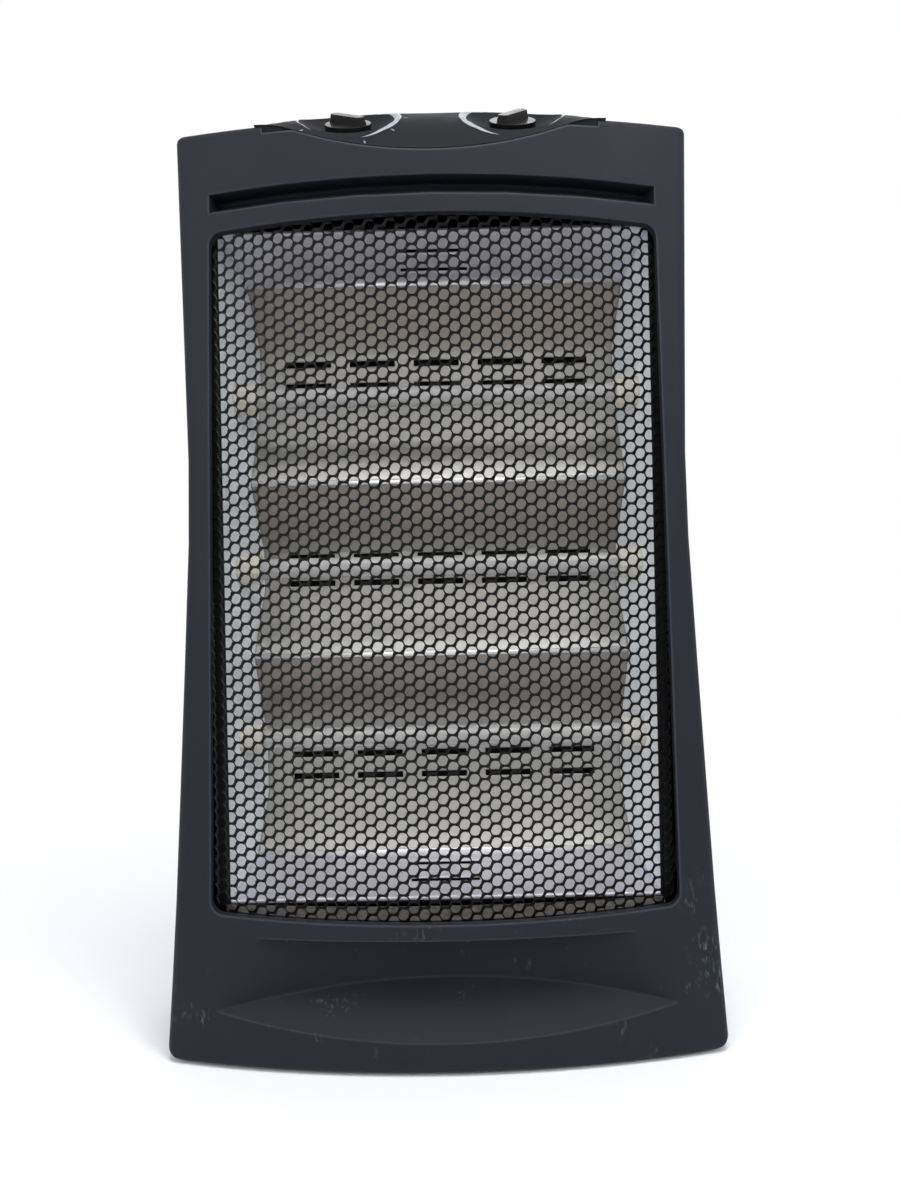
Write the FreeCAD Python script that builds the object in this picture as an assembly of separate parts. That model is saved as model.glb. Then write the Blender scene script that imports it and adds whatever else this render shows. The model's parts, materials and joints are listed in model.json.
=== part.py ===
import FreeCAD, Part
import math
import os

# Quartz tower heater. Millimetres, X to the right, Y to the back, Z up from the floor.
Vec = FreeCAD.Vector

# Tower form
BASE_WIDTH = 338.0
WAIST_WIDTH = 298.0
SHOULDER_WIDTH = 307.0
WAIST_HEIGHT = 335.0
WAIST_BLEND = 30.0
SHOULDER_HEIGHT = 555.0
BASE_DEPTH = 192.0
TOE_FLARE = 6.0
TOE_FLARE_HEIGHT = 110.0
TOE_FLARE_POWER = 1.6
REAR_FLARE = 37.0
REAR_FLARE_HEIGHT = 230.0
REAR_FLARE_POWER = 1.8
FRONT_BOW_RADIUS = 600.0
REAR_BOW_RADIUS = 560.0
FRONT_CORNER_RADIUS = 7.0
REAR_CORNER_RADIUS = 24.0
CORNER_CHORDS = 4
TOP_EDGE_RADIUS = 3.5
TOP_EDGE_STEPS = 3
FOOT_CORNER_RADIUS = 9.0
FLOOR_GAP = 3.0
PARTING_DEPTH = 51.0
TOWER_LEVELS = (45.0, 95.0, 160.0, 235.0, 310.0, 360.0)
WALL = 2.5
FIT_GAP = 0.2
ROD_SIDES = 10
TUBE_SIDES = 24

# Window in the front and the guard grille behind it
SIDE_BAR = 13.2
WINDOW_TAPER = 0.0173
WINDOW_HEAD = 61.0
WINDOW_BOTTOM = 89.0
WINDOW_TOP_ARCH = 5.0
WINDOW_BOTTOM_ARCH = 4.0
WINDOW_CORNER = 8.0
RIM_DEPTH = 6.5
RIM_WIDTH = 2.5
GRILLE_GAP = 0.5
GRILLE_SHEET = 1.0
GRILLE_FLANGE = 3.5
GRILLE_MARGIN = 1.0
CELL_PITCH = 40.0
STRAND = 3.2
BOW_PANELS = 8
GRILLE_TAB_DROP = 54.0
GRILLE_TAB_RISE = 96.0
GRILLE_TAB_INSET = 6.3
GRILLE_TAB_HALF = 6.0

# Groove over the window
GROOVE_DROP = 38.0
GROOVE_HEIGHT = 11.0
GROOVE_DEPTH = 14.0
GROOVE_BACK = 3.0
GROOVE_ARCH = 3.5
GROOVE_END_INSET = 21.0
GROOVE_SECTIONS = 7

# Niche under the window, with its sloping shelf
NICHE_DROP = 13.0
NICHE_TOP_DEPTH = 21.0
NICHE_FOOT_DEPTH = 35.0
NICHE_WALL_RADIUS = 554.0
SHELF_EDGE = 18.5
SHELF_SLOPE = 40.0

# Control panel on the shoulder
PANEL_HALF = 105.0
PANEL_END_SHARE = 0.99
PANEL_DIP = 20.0
PANEL_VALLEY_SHARE = 0.78
PANEL_REAR = 40.0
PANEL_END_REAR = -30.0
PANEL_CREST_SHARE = 0.64
CROWN_RISE = 32.0
CROWN_WIDTH_POWER = 2.6
CROWN_HEIGHT_POWER = 0.625
PANEL_SHARES = (0.2, 0.38, 0.54, 0.68, 0.78, 0.84, 0.9, 0.95, 1.0)
PANEL_CHORDS = (6, 5)
PANEL_INNER_SHARES = (0.38, 0.68, 0.9, 1.0)
PANEL_INNER_CHORDS = (4, 3)
PANEL_LEDGE = 5.0
PANEL_SEAT = 0.6
SNAP_WIDTH = 16.0
SNAP_THICK = 2.0
SNAP_LIP = 2.0
SNAP_LIP_HEIGHT = 2.5
SNAP_ANGLES = (-34.0, 0.0, 34.0)

# Dials
DIAL_X = 50.0
DIAL_TILT = 37.0
BOWL_RADIUS = 56.0
BOWL_DEPTH = 10.0
BOWL_FLOOR = 8.5
BOWL_RINGS = (0.0, 2.0, 5.0, 10.0, 20.0)
BOWL_SIDES = 36
WELL_FOOT_RADIUS = 18.5
WELL_RIM_RADIUS = 48.5
WELL_RIM = 14.0
KNOB_RADIUS = 14.0
KNOB_LIFT = 0.6
KNOB_SKIRT = 4.4
KNOB_HEIGHT = 9.6
KNOB_POCKET_RADIUS = 9.2
KNOB_POCKET_HEIGHT = 3.6
GRIP_LENGTH = 27.4
GRIP_FOOT = 9.0
GRIP_CREST = 6.4
GRIP_TAPER = 3.0
SHAFT_RADIUS = 3.0
SHAFT_FLAT = 2.2
SHAFT_TOP = 7.0
SHAFT_PLAY = 0.05
BUSH_RADIUS = 4.9
BUSH_TOP = 3.2
NUT_RADIUS = 7.6
NUT_HEIGHT = 2.4
THERMOSTAT_SIDE = 30.0
THERMOSTAT_BODY = 15.0
SELECTOR_SIDE = 25.0
SELECTOR_BODY = 21.0
THERMOSTAT_REST_TURN = -38.0
SELECTOR_REST_TURN = 52.0

# Steel chassis pan and the reflector in it
CHASSIS_SIDE_GAP = 7.0
CHASSIS_SHEET = 1.0
CHASSIS_DEPTH = 83.0
CHASSIS_FRONT = 36.0
EAR_INSET = 6.0
EAR_DROP = 22.0
EAR_HALF = 8.0
REFLECTOR_SHEET = 0.8
REFLECTOR_LIP = 2.0
REFLECTOR_SIDE_LIP = 7.0
REFLECTOR_RISE = 4.0
REFLECTOR_OVERLAP = 0.5
SIDE_DEPTH = 74.5
SIDE_DRAFT = 0.14
RIDGE_DEPTH = 50.0
BAY_DEPTH = 24.0
END_PANEL_SLOPE = 15.0
RIDGE_OFFSET = 57.0
MIDDLE_FLAT = 26.0
OUTER_FLAT = 34.0
OUTER_FLAT_OFFSET = 134.0
SLOT_LENGTH = 31.0
SLOT_HEIGHT = 4.0
SLOT_PITCH = 44.0
SLOTS_PER_ROW = 5
MIDDLE_ROW_OFFSET = 9.0
OUTER_ROW_OFFSET = 7.5
END_SLOT_LENGTH = 43.0
END_SLOT_PLACES = (16.0, 34.0)
DIMPLE_RADIUS = 6.0
DIMPLE_X = 66.0

# Heating elements
TUBE_PITCH = 109.0
TUBE_DEPTH = 30.0
TUBE_RADIUS = 6.5
TUBE_WALL = 1.2
CAP_RADIUS = 10.0
CAP_LENGTH = 24.0
CAP_SOCKET = 6.0
CAP_NECK_RADIUS = 7.0
CAP_NECK = 5.0
CAP_PLAY = 0.15
COIL_RADIUS = 3.4
COIL_END_GAP = 5.0
PIN_RADIUS = 1.2
PIN_PLAY = 0.15
STRIP_SHEET = 1.0
STRIP_WIDTH = 8.0
PIN_PROUD = 1.0

# Rear cover
VENT_LENGTH = 80.0
VENT_HEIGHT = 6.0
VENT_PITCH = 30.0
VENT_ROWS = 10
VENT_BOTTOM = 130.0
VENT_X = 55.0
HANDLE_WIDTH = 112.0
HANDLE_HEIGHT = 38.0
HANDLE_DEPTH = 26.0
HANDLE_DROP = 66.0
HANDLE_CORNER = 8.0
TOWER_RADIUS = 4.5
TOWER_SEAT = 6.0
TOWER_TOP_DROP = 25.0
TOWER_TOP_INSET = 33.0
TOWER_LOW = 140.0
TOWER_GAP = 1.0
TOWER_FOOT = 35.0
TOWER_FOOT_INSET = 44.0

# Screws
SCREW_HEAD_RADIUS = 3.2
SCREW_HEAD_HEIGHT = 2.2
SCREW_RADIUS = 1.7
SCREW_BITE = 8.0
SCREW_PLAY = 0.05
BOSS_RADIUS = 4.0

# Base
BASE_SHEET = 2.5
BASE_LIFT = 5.0
POST_RADIUS = 6.0
POST_HEIGHT = 20.0
POST_INSET = 4.0
POST_FRONT_Y = -56.0
POST_REAR_Y = 40.0
FOOT_RADIUS = 11.0
FOOT_STEM_RADIUS = 4.0
FOOT_STEM = 5.0
FOOT_X = 120.0
FOOT_FRONT_Y = -55.0
FOOT_REAR_Y = 62.0
BLOCK_LENGTH = 44.0
BLOCK_WIDTH = 20.0
BLOCK_HEIGHT = 16.0
BLOCK_Y = 30.0
GLAND_X = 60.0
GLAND_HEIGHT = 42.0
GLAND_RADIUS = 8.0
GLAND_BORE = 4.2
GLAND_FLANGE = 11.5
GLAND_FLANGE_THICK = 3.0
GLAND_PAD = 1.0
GLAND_LENGTH = 12.0
GLAND_NUT_RADIUS = 12.5
GLAND_NUT_THICK = 4.0

# Safety switches
CUTOUT_RADIUS = 8.5
CUTOUT_HEIGHT = 8.0
CUTOUT_FLANGE = 26.0
CUTOUT_FLANGE_WIDTH = 10.0
CUTOUT_SHEET = 0.8
CUTOUT_Z = 400.0
TIP_X = -70.0
TIP_Y = 40.0
TIP_SHEET = 1.5
TIP_WIDTH = 16.0
TIP_LENGTH = 44.0
TIP_PIVOT = 42.0
TIP_CHEEK_TOP = 6.0
TIP_PIN_RADIUS = 2.0
TIP_HUB_RADIUS = 4.5
TIP_PLAY = 0.05
TIP_SIDE_GAP = 0.6
BOB_RADIUS = 10.0
BOB_DROP = 24.0
STEM_WIDTH = 4.0
MICRO_LENGTH = 20.0
MICRO_HEIGHT = 16.0
MICRO_THICK = 7.0

# Places worked out from the sizes above
FRONT_Y = TOE_FLARE - BASE_DEPTH / 2
PARTING_Y = PARTING_DEPTH - BASE_DEPTH / 2
WINDOW_TOP = SHOULDER_HEIGHT - WINDOW_HEAD
GRILLE_DEPTH = RIM_DEPTH + GRILLE_GAP
BOW_CENTRE_Y = FRONT_Y + FRONT_BOW_RADIUS
CHASSIS_HALF = WAIST_WIDTH / 2 - WALL - CHASSIS_SIDE_GAP
CHASSIS_INNER = CHASSIS_HALF - CHASSIS_SHEET
CHASSIS_Y = CHASSIS_FRONT - BASE_DEPTH / 2
CHASSIS_BACK = CHASSIS_Y + CHASSIS_DEPTH
REFLECTOR_MID = (WINDOW_TOP + WINDOW_BOTTOM) / 2 + REFLECTOR_RISE
REFLECTOR_HALF_HEIGHT = (WINDOW_TOP - WINDOW_BOTTOM) / 2 + REFLECTOR_OVERLAP
REFLECTOR_HALF_WIDTH = CHASSIS_INNER - REFLECTOR_SIDE_LIP
CHASSIS_HALF_HEIGHT = REFLECTOR_HALF_HEIGHT + REFLECTOR_LIP
RIDGE_Y = CHASSIS_Y + RIDGE_DEPTH
BAY_Y = RIDGE_Y + BAY_DEPTH
TUBE_Y = CHASSIS_Y + TUBE_DEPTH
BASE_TOP = BASE_LIFT + BASE_SHEET
FAR = 4 * SHOULDER_HEIGHT
PANEL_END = PANEL_HALF * PANEL_END_SHARE
SIDES = {"left": -1, "right": 1}
TUBES = {"top": 1, "middle": 0, "bottom": -1}
UP = Vec(0, 0, 1)
BACK = Vec(0, 1, 0)
RIGHT = Vec(1, 0, 0)


def block(x0, x1, y0, y1, z0, z1):
    return Part.makeBox(x1 - x0, y1 - y0, z1 - z0, Vec(x0, y0, z0))


def turned(radius, start, axis, length):
    return Part.makeCylinder(radius, length, start, axis)


def rod(radius, start, axis, length, sides=ROD_SIDES):
    """Small round piece or hole with few sides; what turns in a fit is made by turned instead."""
    across = axis.cross(UP) if abs(axis.z) < 1 else Vec(1, 0, 0)
    across.normalize()
    beside = axis.cross(across)
    corners = []
    for step in range(sides):
        angle = 2 * math.pi * (step + 0.5) / sides
        corners.append(start + across * (radius * math.cos(angle)) + beside * (radius * math.sin(angle)))
    return polygon_face(corners).extrude(axis * length)


def arc(first, middle, last):
    return Part.Arc(first, middle, last).toShape()


def chain(points):
    return [Part.makeLine(first, last) for first, last in zip(points, points[1:])]


def polygon_face(points):
    return Part.Face(Part.makePolygon(points + points[:1]))


def front_slab(y0, y1):
    return block(-FAR, FAR, y0, y1, -FAR, FAR)


def mirror_x(shape):
    return shape.mirror(Vec(0, 0, 0), RIGHT)


def join(shapes):
    return shapes[0].multiFuse(shapes[1:]).removeSplitter()


# Plan and elevation of the tower
def half_width(z):
    rise = (SHOULDER_WIDTH - WAIST_WIDTH) / 2 / (SHOULDER_HEIGHT - WAIST_HEIGHT)
    fall = (BASE_WIDTH - WAIST_WIDTH) / 2 / (WAIST_HEIGHT - FLOOR_GAP)
    above = z - WAIST_HEIGHT
    bend = math.hypot(above, WAIST_BLEND)
    return WAIST_WIDTH / 2 + (rise + fall) / 2 * bend + (rise - fall) / 2 * above


def flare(z, top, power):
    return max(0.0, (top - z) / (top - FLOOR_GAP)) ** power


def front_y(z):
    return FRONT_Y - TOE_FLARE * flare(z, TOE_FLARE_HEIGHT, TOE_FLARE_POWER)


def rear_y(z):
    share = flare(z, REAR_FLARE_HEIGHT, REAR_FLARE_POWER)
    return BASE_DEPTH / 2 - REAR_FLARE * (1 - share)


def front_surface(x):
    return BOW_CENTRE_Y - math.sqrt(FRONT_BOW_RADIUS ** 2 - x ** 2)


def rear_surface(x, z):
    return rear_y(z) - REAR_BOW_RADIUS + math.sqrt(REAR_BOW_RADIUS ** 2 - x ** 2)


def corner_points(half, crown_y, bow, radius, facing):
    """Points of the round from a bowed face, which it touches, to a side wall."""
    across = half - radius
    reach = facing * math.sqrt((bow - radius) ** 2 - across ** 2)
    centre = Vec(across, crown_y - facing * bow + reach, 0)
    start = math.atan2(reach, across)
    points = []
    for step in range(CORNER_CHORDS + 1):
        angle = start * (1 - step / CORNER_CHORDS)
        points.append(centre + Vec(math.cos(angle), math.sin(angle), 0) * radius)
    return points


def plan_wire(z, inset):
    half = half_width(z) - inset
    front_crown = front_y(z) + inset
    rear_crown = rear_y(z) - inset
    front_round = max(FRONT_CORNER_RADIUS - inset, WALL / 2)
    rear_round = max(REAR_CORNER_RADIUS - inset, WALL / 2)
    front = corner_points(half, front_crown, FRONT_BOW_RADIUS - inset, front_round, -1)
    rear = corner_points(half, rear_crown, REAR_BOW_RADIUS - inset, rear_round, 1)

    right = [Vec(point.x, point.y, z) for point in front + rear[::-1]]
    left = [Vec(-point.x, point.y, z) for point in reversed(right)]
    edges = [arc(left[-1], Vec(0, front_crown, z), right[0])] + chain(right)
    edges += [arc(right[-1], Vec(0, rear_crown, z), left[0])] + chain(left)
    return Part.Wire(edges)


def tower(inset, bottom, top):
    levels = [bottom] + [level for level in TOWER_LEVELS if bottom < level < top] + [top]
    return Part.makeLoft([plan_wire(level, inset) for level in levels], True, True)


def foot_corner_cut():
    """What the rounded lower corners take off the right side of the tower."""
    radius = FOOT_CORNER_RADIUS
    half = half_width(FLOOR_GAP)
    square = block(half - radius, half + radius, -FAR, FAR, FLOOR_GAP - radius, FLOOR_GAP + radius)
    centre = Vec(half - radius, -FAR, FLOOR_GAP + radius)
    return square.cut(turned(radius, centre, BACK, 2 * FAR))


def tower_skin():
    shoulder = SHOULDER_HEIGHT - TOP_EDGE_RADIUS
    body = tower(0, FLOOR_GAP, shoulder)
    bands = []
    for step in range(TOP_EDGE_STEPS + 1):
        angle = math.radians(90.0 * step / TOP_EDGE_STEPS)
        inset = TOP_EDGE_RADIUS * (1 - math.cos(angle))
        bands.append(plan_wire(shoulder + TOP_EDGE_RADIUS * math.sin(angle), inset))
    form = body.fuse(Part.makeLoft(bands, True, True))
    corner = foot_corner_cut()
    return form.cut(corner).cut(mirror_x(corner))


# Window, groove and niche of the front
def window_half(z):
    return WAIST_WIDTH / 2 - SIDE_BAR + WINDOW_TAPER * (WAIST_HEIGHT - z)


def window_face(grow):
    top = WINDOW_TOP + grow
    bottom = WINDOW_BOTTOM - grow
    top_half = window_half(top) + grow
    bottom_half = window_half(bottom) + grow
    upper = arc(Vec(top_half, 0, top), Vec(0, 0, top + WINDOW_TOP_ARCH), Vec(-top_half, 0, top))
    lower = arc(Vec(-bottom_half, 0, bottom), Vec(0, 0, bottom - WINDOW_BOTTOM_ARCH),
                Vec(bottom_half, 0, bottom))
    left = Part.makeLine(Vec(-top_half, 0, top), Vec(-bottom_half, 0, bottom))
    right = Part.makeLine(Vec(bottom_half, 0, bottom), Vec(top_half, 0, top))
    return Part.Face(Part.Wire([upper, left, lower, right]))


def window_prism(grow, y0, y1):
    plate = window_face(grow)
    plate.translate(Vec(0, y0, 0))
    prism = plate.extrude(Vec(0, y1 - y0, 0))
    corners = [edge for edge in prism.Edges if edge.BoundBox.XLength + edge.BoundBox.ZLength < FIT_GAP]
    return prism.makeFillet(WINDOW_CORNER + grow, corners)


def bow_spot(x, depth, z):
    """Point at a depth under the bowed front, and the direction square to the front, inwards."""
    turn = math.asin(x / FRONT_BOW_RADIUS)
    inward = Vec(-math.sin(turn), math.cos(turn), 0)
    return Vec(0, BOW_CENTRE_Y, z) - inward * (FRONT_BOW_RADIUS - depth), inward


def groove(grow):
    half = SHOULDER_WIDTH / 2 - GROOVE_END_INSET + grow
    top = SHOULDER_HEIGHT - GROOVE_DROP
    slope = (GROOVE_HEIGHT - GROOVE_BACK) / GROOVE_DEPTH
    lower = grow * math.hypot(1, slope)
    mouth = -GROOVE_DEPTH / 4
    sections = []
    for step in range(GROOVE_SECTIONS):
        x = half * (2 * step / (GROOVE_SECTIONS - 1) - 1)
        lift = GROOVE_ARCH * (1 - (x / half) ** 2)
        corners = [
            (mouth, top + grow),
            (GROOVE_DEPTH + grow, top + grow),
            (GROOVE_DEPTH + grow, top - GROOVE_BACK - lower + slope * grow),
            (mouth, top - GROOVE_HEIGHT - lower + slope * mouth),
        ]
        points = [bow_spot(x, depth, z + lift)[0] for depth, z in corners]
        sections.append(Part.makePolygon(points + points[:1]))
    return Part.makeLoft(sections, True, True)


def niche_plan(z, grow):
    top = WINDOW_BOTTOM - NICHE_DROP
    depth = NICHE_FOOT_DEPTH + (NICHE_TOP_DEPTH - NICHE_FOOT_DEPTH) * (z - FLOOR_GAP) / (top - FLOOR_GAP)
    back = FRONT_Y + depth + grow
    radius = NICHE_WALL_RADIUS + grow
    half = BASE_WIDTH / 2
    ends = back - radius + math.sqrt(radius ** 2 - half ** 2)
    mouth = -BASE_DEPTH
    wall = arc(Vec(half, ends, z), Vec(0, back, z), Vec(-half, ends, z))
    left = Part.makeLine(Vec(-half, ends, z), Vec(-half, mouth, z))
    front = Part.makeLine(Vec(-half, mouth, z), Vec(half, mouth, z))
    right = Part.makeLine(Vec(half, mouth, z), Vec(half, ends, z))
    return Part.Wire([wall, left, front, right])


def niche(grow):
    top = WINDOW_BOTTOM - NICHE_DROP + grow
    scoop = Part.makeLoft([niche_plan(FLOOR_GAP, grow), niche_plan(top, grow)], True, True)
    slope = math.tan(math.radians(SHELF_SLOPE))
    drop = grow * math.hypot(1, slope)
    edge_y = front_y(SHELF_EDGE)

    def shelf(y):
        return Vec(-FAR / 2, y, SHELF_EDGE - drop + slope * (y - edge_y))

    reach = (top - SHELF_EDGE + drop) / slope
    front = shelf(edge_y - BASE_DEPTH)
    over = polygon_face([front, shelf(edge_y + reach), Vec(-FAR / 2, edge_y - BASE_DEPTH, top)])
    return scoop.common(over.extrude(Vec(FAR, 0, 0)))


# Seam between the bezel and the control panel
def seam_turn():
    return 2 * math.atan(PANEL_DIP / PANEL_HALF)


def seam_z(x):
    total = PANEL_HALF / math.sin(seam_turn())
    valley = total * PANEL_VALLEY_SHARE
    blend = total - valley
    across = min(abs(x), PANEL_HALF)
    if across < valley * math.sin(seam_turn()):
        return SHOULDER_HEIGHT - PANEL_DIP + valley - math.sqrt(valley ** 2 - across ** 2)
    return SHOULDER_HEIGHT - blend + math.sqrt(blend ** 2 - (PANEL_HALF - across) ** 2)


def seam_cut():
    joint = PANEL_HALF * PANEL_VALLEY_SHARE
    high = SHOULDER_HEIGHT + CROWN_RISE

    def spot(x):
        return Vec(x, 0, seam_z(x))

    half_joint = (joint + PANEL_HALF) / 2
    edges = [
        arc(spot(-PANEL_HALF), spot(-half_joint), spot(-joint)),
        arc(spot(-joint), spot(0), spot(joint)),
        arc(spot(joint), spot(half_joint), spot(PANEL_HALF)),
        Part.makeLine(spot(PANEL_HALF), Vec(PANEL_HALF, 0, high)),
        Part.makeLine(Vec(PANEL_HALF, 0, high), Vec(-PANEL_HALF, 0, high)),
        Part.makeLine(Vec(-PANEL_HALF, 0, high), spot(-PANEL_HALF)),
    ]
    plate = Part.Face(Part.Wire(edges))
    plate.translate(Vec(0, -BASE_DEPTH, 0))
    return plate.extrude(Vec(0, BASE_DEPTH + front_surface(PANEL_HALF) + PANEL_LEDGE, 0))


def panel_rear_circle():
    rise = PANEL_REAR - PANEL_END_REAR
    radius = (PANEL_END ** 2 + rise ** 2) / (2 * rise)
    return radius, PANEL_REAR - radius


def shoulder_opening():
    """Hole in the top wall under the control panel."""
    radius, centre_y = panel_rear_circle()
    disc = turned(radius - PANEL_LEDGE, Vec(0, centre_y, SHOULDER_HEIGHT - 2 * WALL), UP, 4 * WALL)
    half = PANEL_END - PANEL_LEDGE
    front = front_surface(0) + WALL
    return disc.common(block(-half, half, front, FAR, 0, FAR))


# Control panel
def panel_arcs(x):
    """Front edge, crest and rear edge of the panel at x, as (y, z), and its two radii."""
    radius, centre_y = panel_rear_circle()
    front = (front_surface(x), seam_z(x) + FIT_GAP)
    rear = (centre_y + math.sqrt(radius ** 2 - x ** 2), SHOULDER_HEIGHT + PANEL_SEAT)
    crown = (1 - (abs(x) / PANEL_HALF) ** CROWN_WIDTH_POWER) ** CROWN_HEIGHT_POWER
    crest = (front[0] + (rear[0] - front[0]) * PANEL_CREST_SHARE, SHOULDER_HEIGHT + CROWN_RISE * crown)
    radii = []
    for end in (front, rear):
        run = end[0] - crest[0]
        drop = crest[1] - end[1]
        radii.append((run ** 2 + drop ** 2) / (2 * drop))
    return front, crest, rear, radii


def panel_section(x, inset, chords):
    front, crest, rear, radii = panel_arcs(x)

    def on_arc(radius, turn):
        out = radius - inset
        return Vec(x, crest[0] + out * math.sin(turn), crest[1] - radius + out * math.cos(turn))

    front_turn = math.asin((front[0] - crest[0]) / radii[0])
    rear_turn = math.asin((rear[0] - crest[0]) / radii[1])
    front_chords, rear_chords = chords
    points = [on_arc(radii[0], front_turn * (1 - step / front_chords)) for step in range(front_chords + 1)]
    points += [on_arc(radii[1], rear_turn * (step + 1) / rear_chords) for step in range(rear_chords)]
    if inset > 0:
        floor = SHOULDER_HEIGHT - 2 * PANEL_DIP
        points += [Vec(x, points[-1].y, floor), Vec(x, points[0].y, floor)]
    return Part.makePolygon(points + points[:1])


def panel_form(inset, right_shares, chords):
    end = PANEL_END - inset
    shares = [-share for share in reversed(right_shares)] + [0.0] + list(right_shares)
    return Part.makeLoft([panel_section(end * share, inset, chords) for share in shares], True, True)


def dial_placement(side):
    """Frame of a dial: origin in the middle of its well's floor, Z square out of the panel."""
    front, crest, rear, radii = panel_arcs(DIAL_X)
    tilt = math.radians(DIAL_TILT)
    out = Vec(0, -math.sin(tilt), math.cos(tilt))
    surface = Vec(side * DIAL_X, crest[0] - radii[0] * math.sin(tilt),
                  crest[1] - radii[0] * (1 - math.cos(tilt)))
    turn = FreeCAD.Rotation(RIGHT, DIAL_TILT)
    return FreeCAD.Placement(surface - out * BOWL_FLOOR, turn)


def placed(shape, placement):
    copy = shape.copy()
    copy.transformShape(placement.toMatrix(), True)
    return copy


def ring(radius, z, sides):
    corners = []
    for step in range(sides):
        angle = 2 * math.pi * (step + 0.5) / sides
        corners.append(Vec(radius * math.cos(angle), radius * math.sin(angle), z))
    return Part.makePolygon(corners + corners[:1])


def bowl():
    """Dished space of a dial: rings that follow a sphere up from a flat floor."""
    centre = BOWL_RADIUS - BOWL_DEPTH + BOWL_FLOOR
    radii = [math.sqrt(BOWL_RADIUS ** 2 - (centre - z) ** 2) for z in BOWL_RINGS]
    rings = [ring(radius, z, BOWL_SIDES) for radius, z in zip(radii, BOWL_RINGS)]
    return Part.makeLoft(rings, True, True)


def well():
    rings = [ring(WELL_FOOT_RADIUS, -WALL, ROD_SIDES), ring(WELL_RIM_RADIUS, WELL_RIM, ROD_SIDES)]
    return Part.makeLoft(rings, True, True)


def snap_tab(angle):
    """Hook under the top wall that holds the panel's rear edge."""
    radius, centre_y = panel_rear_circle()
    edge = math.sqrt((radius - PANEL_LEDGE - FIT_GAP) ** 2 - SNAP_WIDTH ** 2 / 4)
    under = SHOULDER_HEIGHT - WALL - FIT_GAP
    half = SNAP_WIDTH / 2
    root = SHOULDER_HEIGHT + PANEL_SEAT + FIT_GAP
    head = root + SNAP_LIP_HEIGHT
    leaf = block(-half, half, edge - SNAP_THICK, edge, under - SNAP_LIP_HEIGHT, head)
    lip = block(-half, half, edge - SNAP_THICK, edge + SNAP_LIP, under - SNAP_LIP_HEIGHT, under)
    ledge = block(-half, half, edge - SNAP_THICK, radius - 0.8 * WALL, root, head)
    tab = join([leaf, lip, ledge])
    tab.rotate(Vec(0, 0, 0), UP, angle)
    tab.translate(Vec(0, centre_y, 0))
    return tab


def control_panel():
    skin = panel_form(0, PANEL_SHARES, PANEL_CHORDS)
    shell = skin.cut(panel_form(WALL, PANEL_INNER_SHARES, PANEL_INNER_CHORDS))
    hooks = [snap_tab(angle) for angle in SNAP_ANGLES]
    wells = [placed(well(), dial_placement(side)).common(skin) for side in SIDES.values()]
    shell = join([shell] + hooks + wells)
    for side in SIDES.values():
        place = dial_placement(side)
        shell = shell.cut(placed(bowl(), place))
        hole = rod(BUSH_RADIUS + FIT_GAP, Vec(0, 0, -2 * WALL), UP, 4 * WALL)
        shell = shell.cut(placed(hole, place))
    return shell


# Dials, their shafts and the switches under them
def flatted_rod(radius, flat, z0, z1):
    round_rod = rod(radius, Vec(0, 0, z0), UP, z1 - z0, TUBE_SIDES)
    return round_rod.common(block(-radius, radius, -radius, flat, z0, z1))


def grip_wire(length, width, z):
    """Outline of the bar grip, with its four corners taken off."""
    half = length / 2
    side = width / 2
    corner = side / 2
    points = [Vec(half, -corner, z), Vec(half, corner, z), Vec(half - corner, side, z),
              Vec(corner - half, side, z), Vec(-half, corner, z), Vec(-half, -corner, z),
              Vec(corner - half, -side, z), Vec(half - corner, -side, z)]
    return Part.makePolygon(points + points[:1])


def knob(turn):
    skirt_top = KNOB_LIFT + KNOB_SKIRT
    skirt = rod(KNOB_RADIUS, Vec(0, 0, KNOB_LIFT), UP, KNOB_SKIRT, BOWL_SIDES)
    grip_base = KNOB_LIFT + KNOB_SKIRT / 2
    foot = grip_wire(GRIP_LENGTH, GRIP_FOOT, grip_base)
    crest = grip_wire(GRIP_LENGTH - GRIP_TAPER, GRIP_CREST, KNOB_HEIGHT)
    grip = Part.makeLoft([foot, crest], True, True)
    body = join([skirt, grip])
    pocket = rod(KNOB_POCKET_RADIUS, Vec(0, 0, 0), UP, min(KNOB_POCKET_HEIGHT, skirt_top - WALL / 2))
    bore = flatted_rod(SHAFT_RADIUS + SHAFT_PLAY, SHAFT_FLAT + SHAFT_PLAY, 0, SHAFT_TOP + SHAFT_PLAY)
    body = body.cut(pocket).cut(bore)
    body.rotate(Vec(0, 0, 0), UP, turn)
    return body


def dial_shaft(turn):
    stem = turned(SHAFT_RADIUS, Vec(0, 0, -WALL - SHAFT_TOP / 2), UP, WALL + SHAFT_TOP / 2 + BUSH_TOP)
    tip = flatted_rod(SHAFT_RADIUS, SHAFT_FLAT, BUSH_TOP, SHAFT_TOP)
    shaft = join([stem, tip])
    shaft.rotate(Vec(0, 0, 0), UP, turn)
    return shaft


def dial_nut():
    corners = []
    for step in range(6):
        angle = math.radians(60 * step)
        corners.append(Vec(NUT_RADIUS * math.cos(angle), NUT_RADIUS * math.sin(angle), 0))
    nut = polygon_face(corners).extrude(Vec(0, 0, NUT_HEIGHT))
    return nut.cut(rod(BUSH_RADIUS + SHAFT_PLAY, Vec(0, 0, -1), UP, NUT_HEIGHT + 2))


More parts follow.
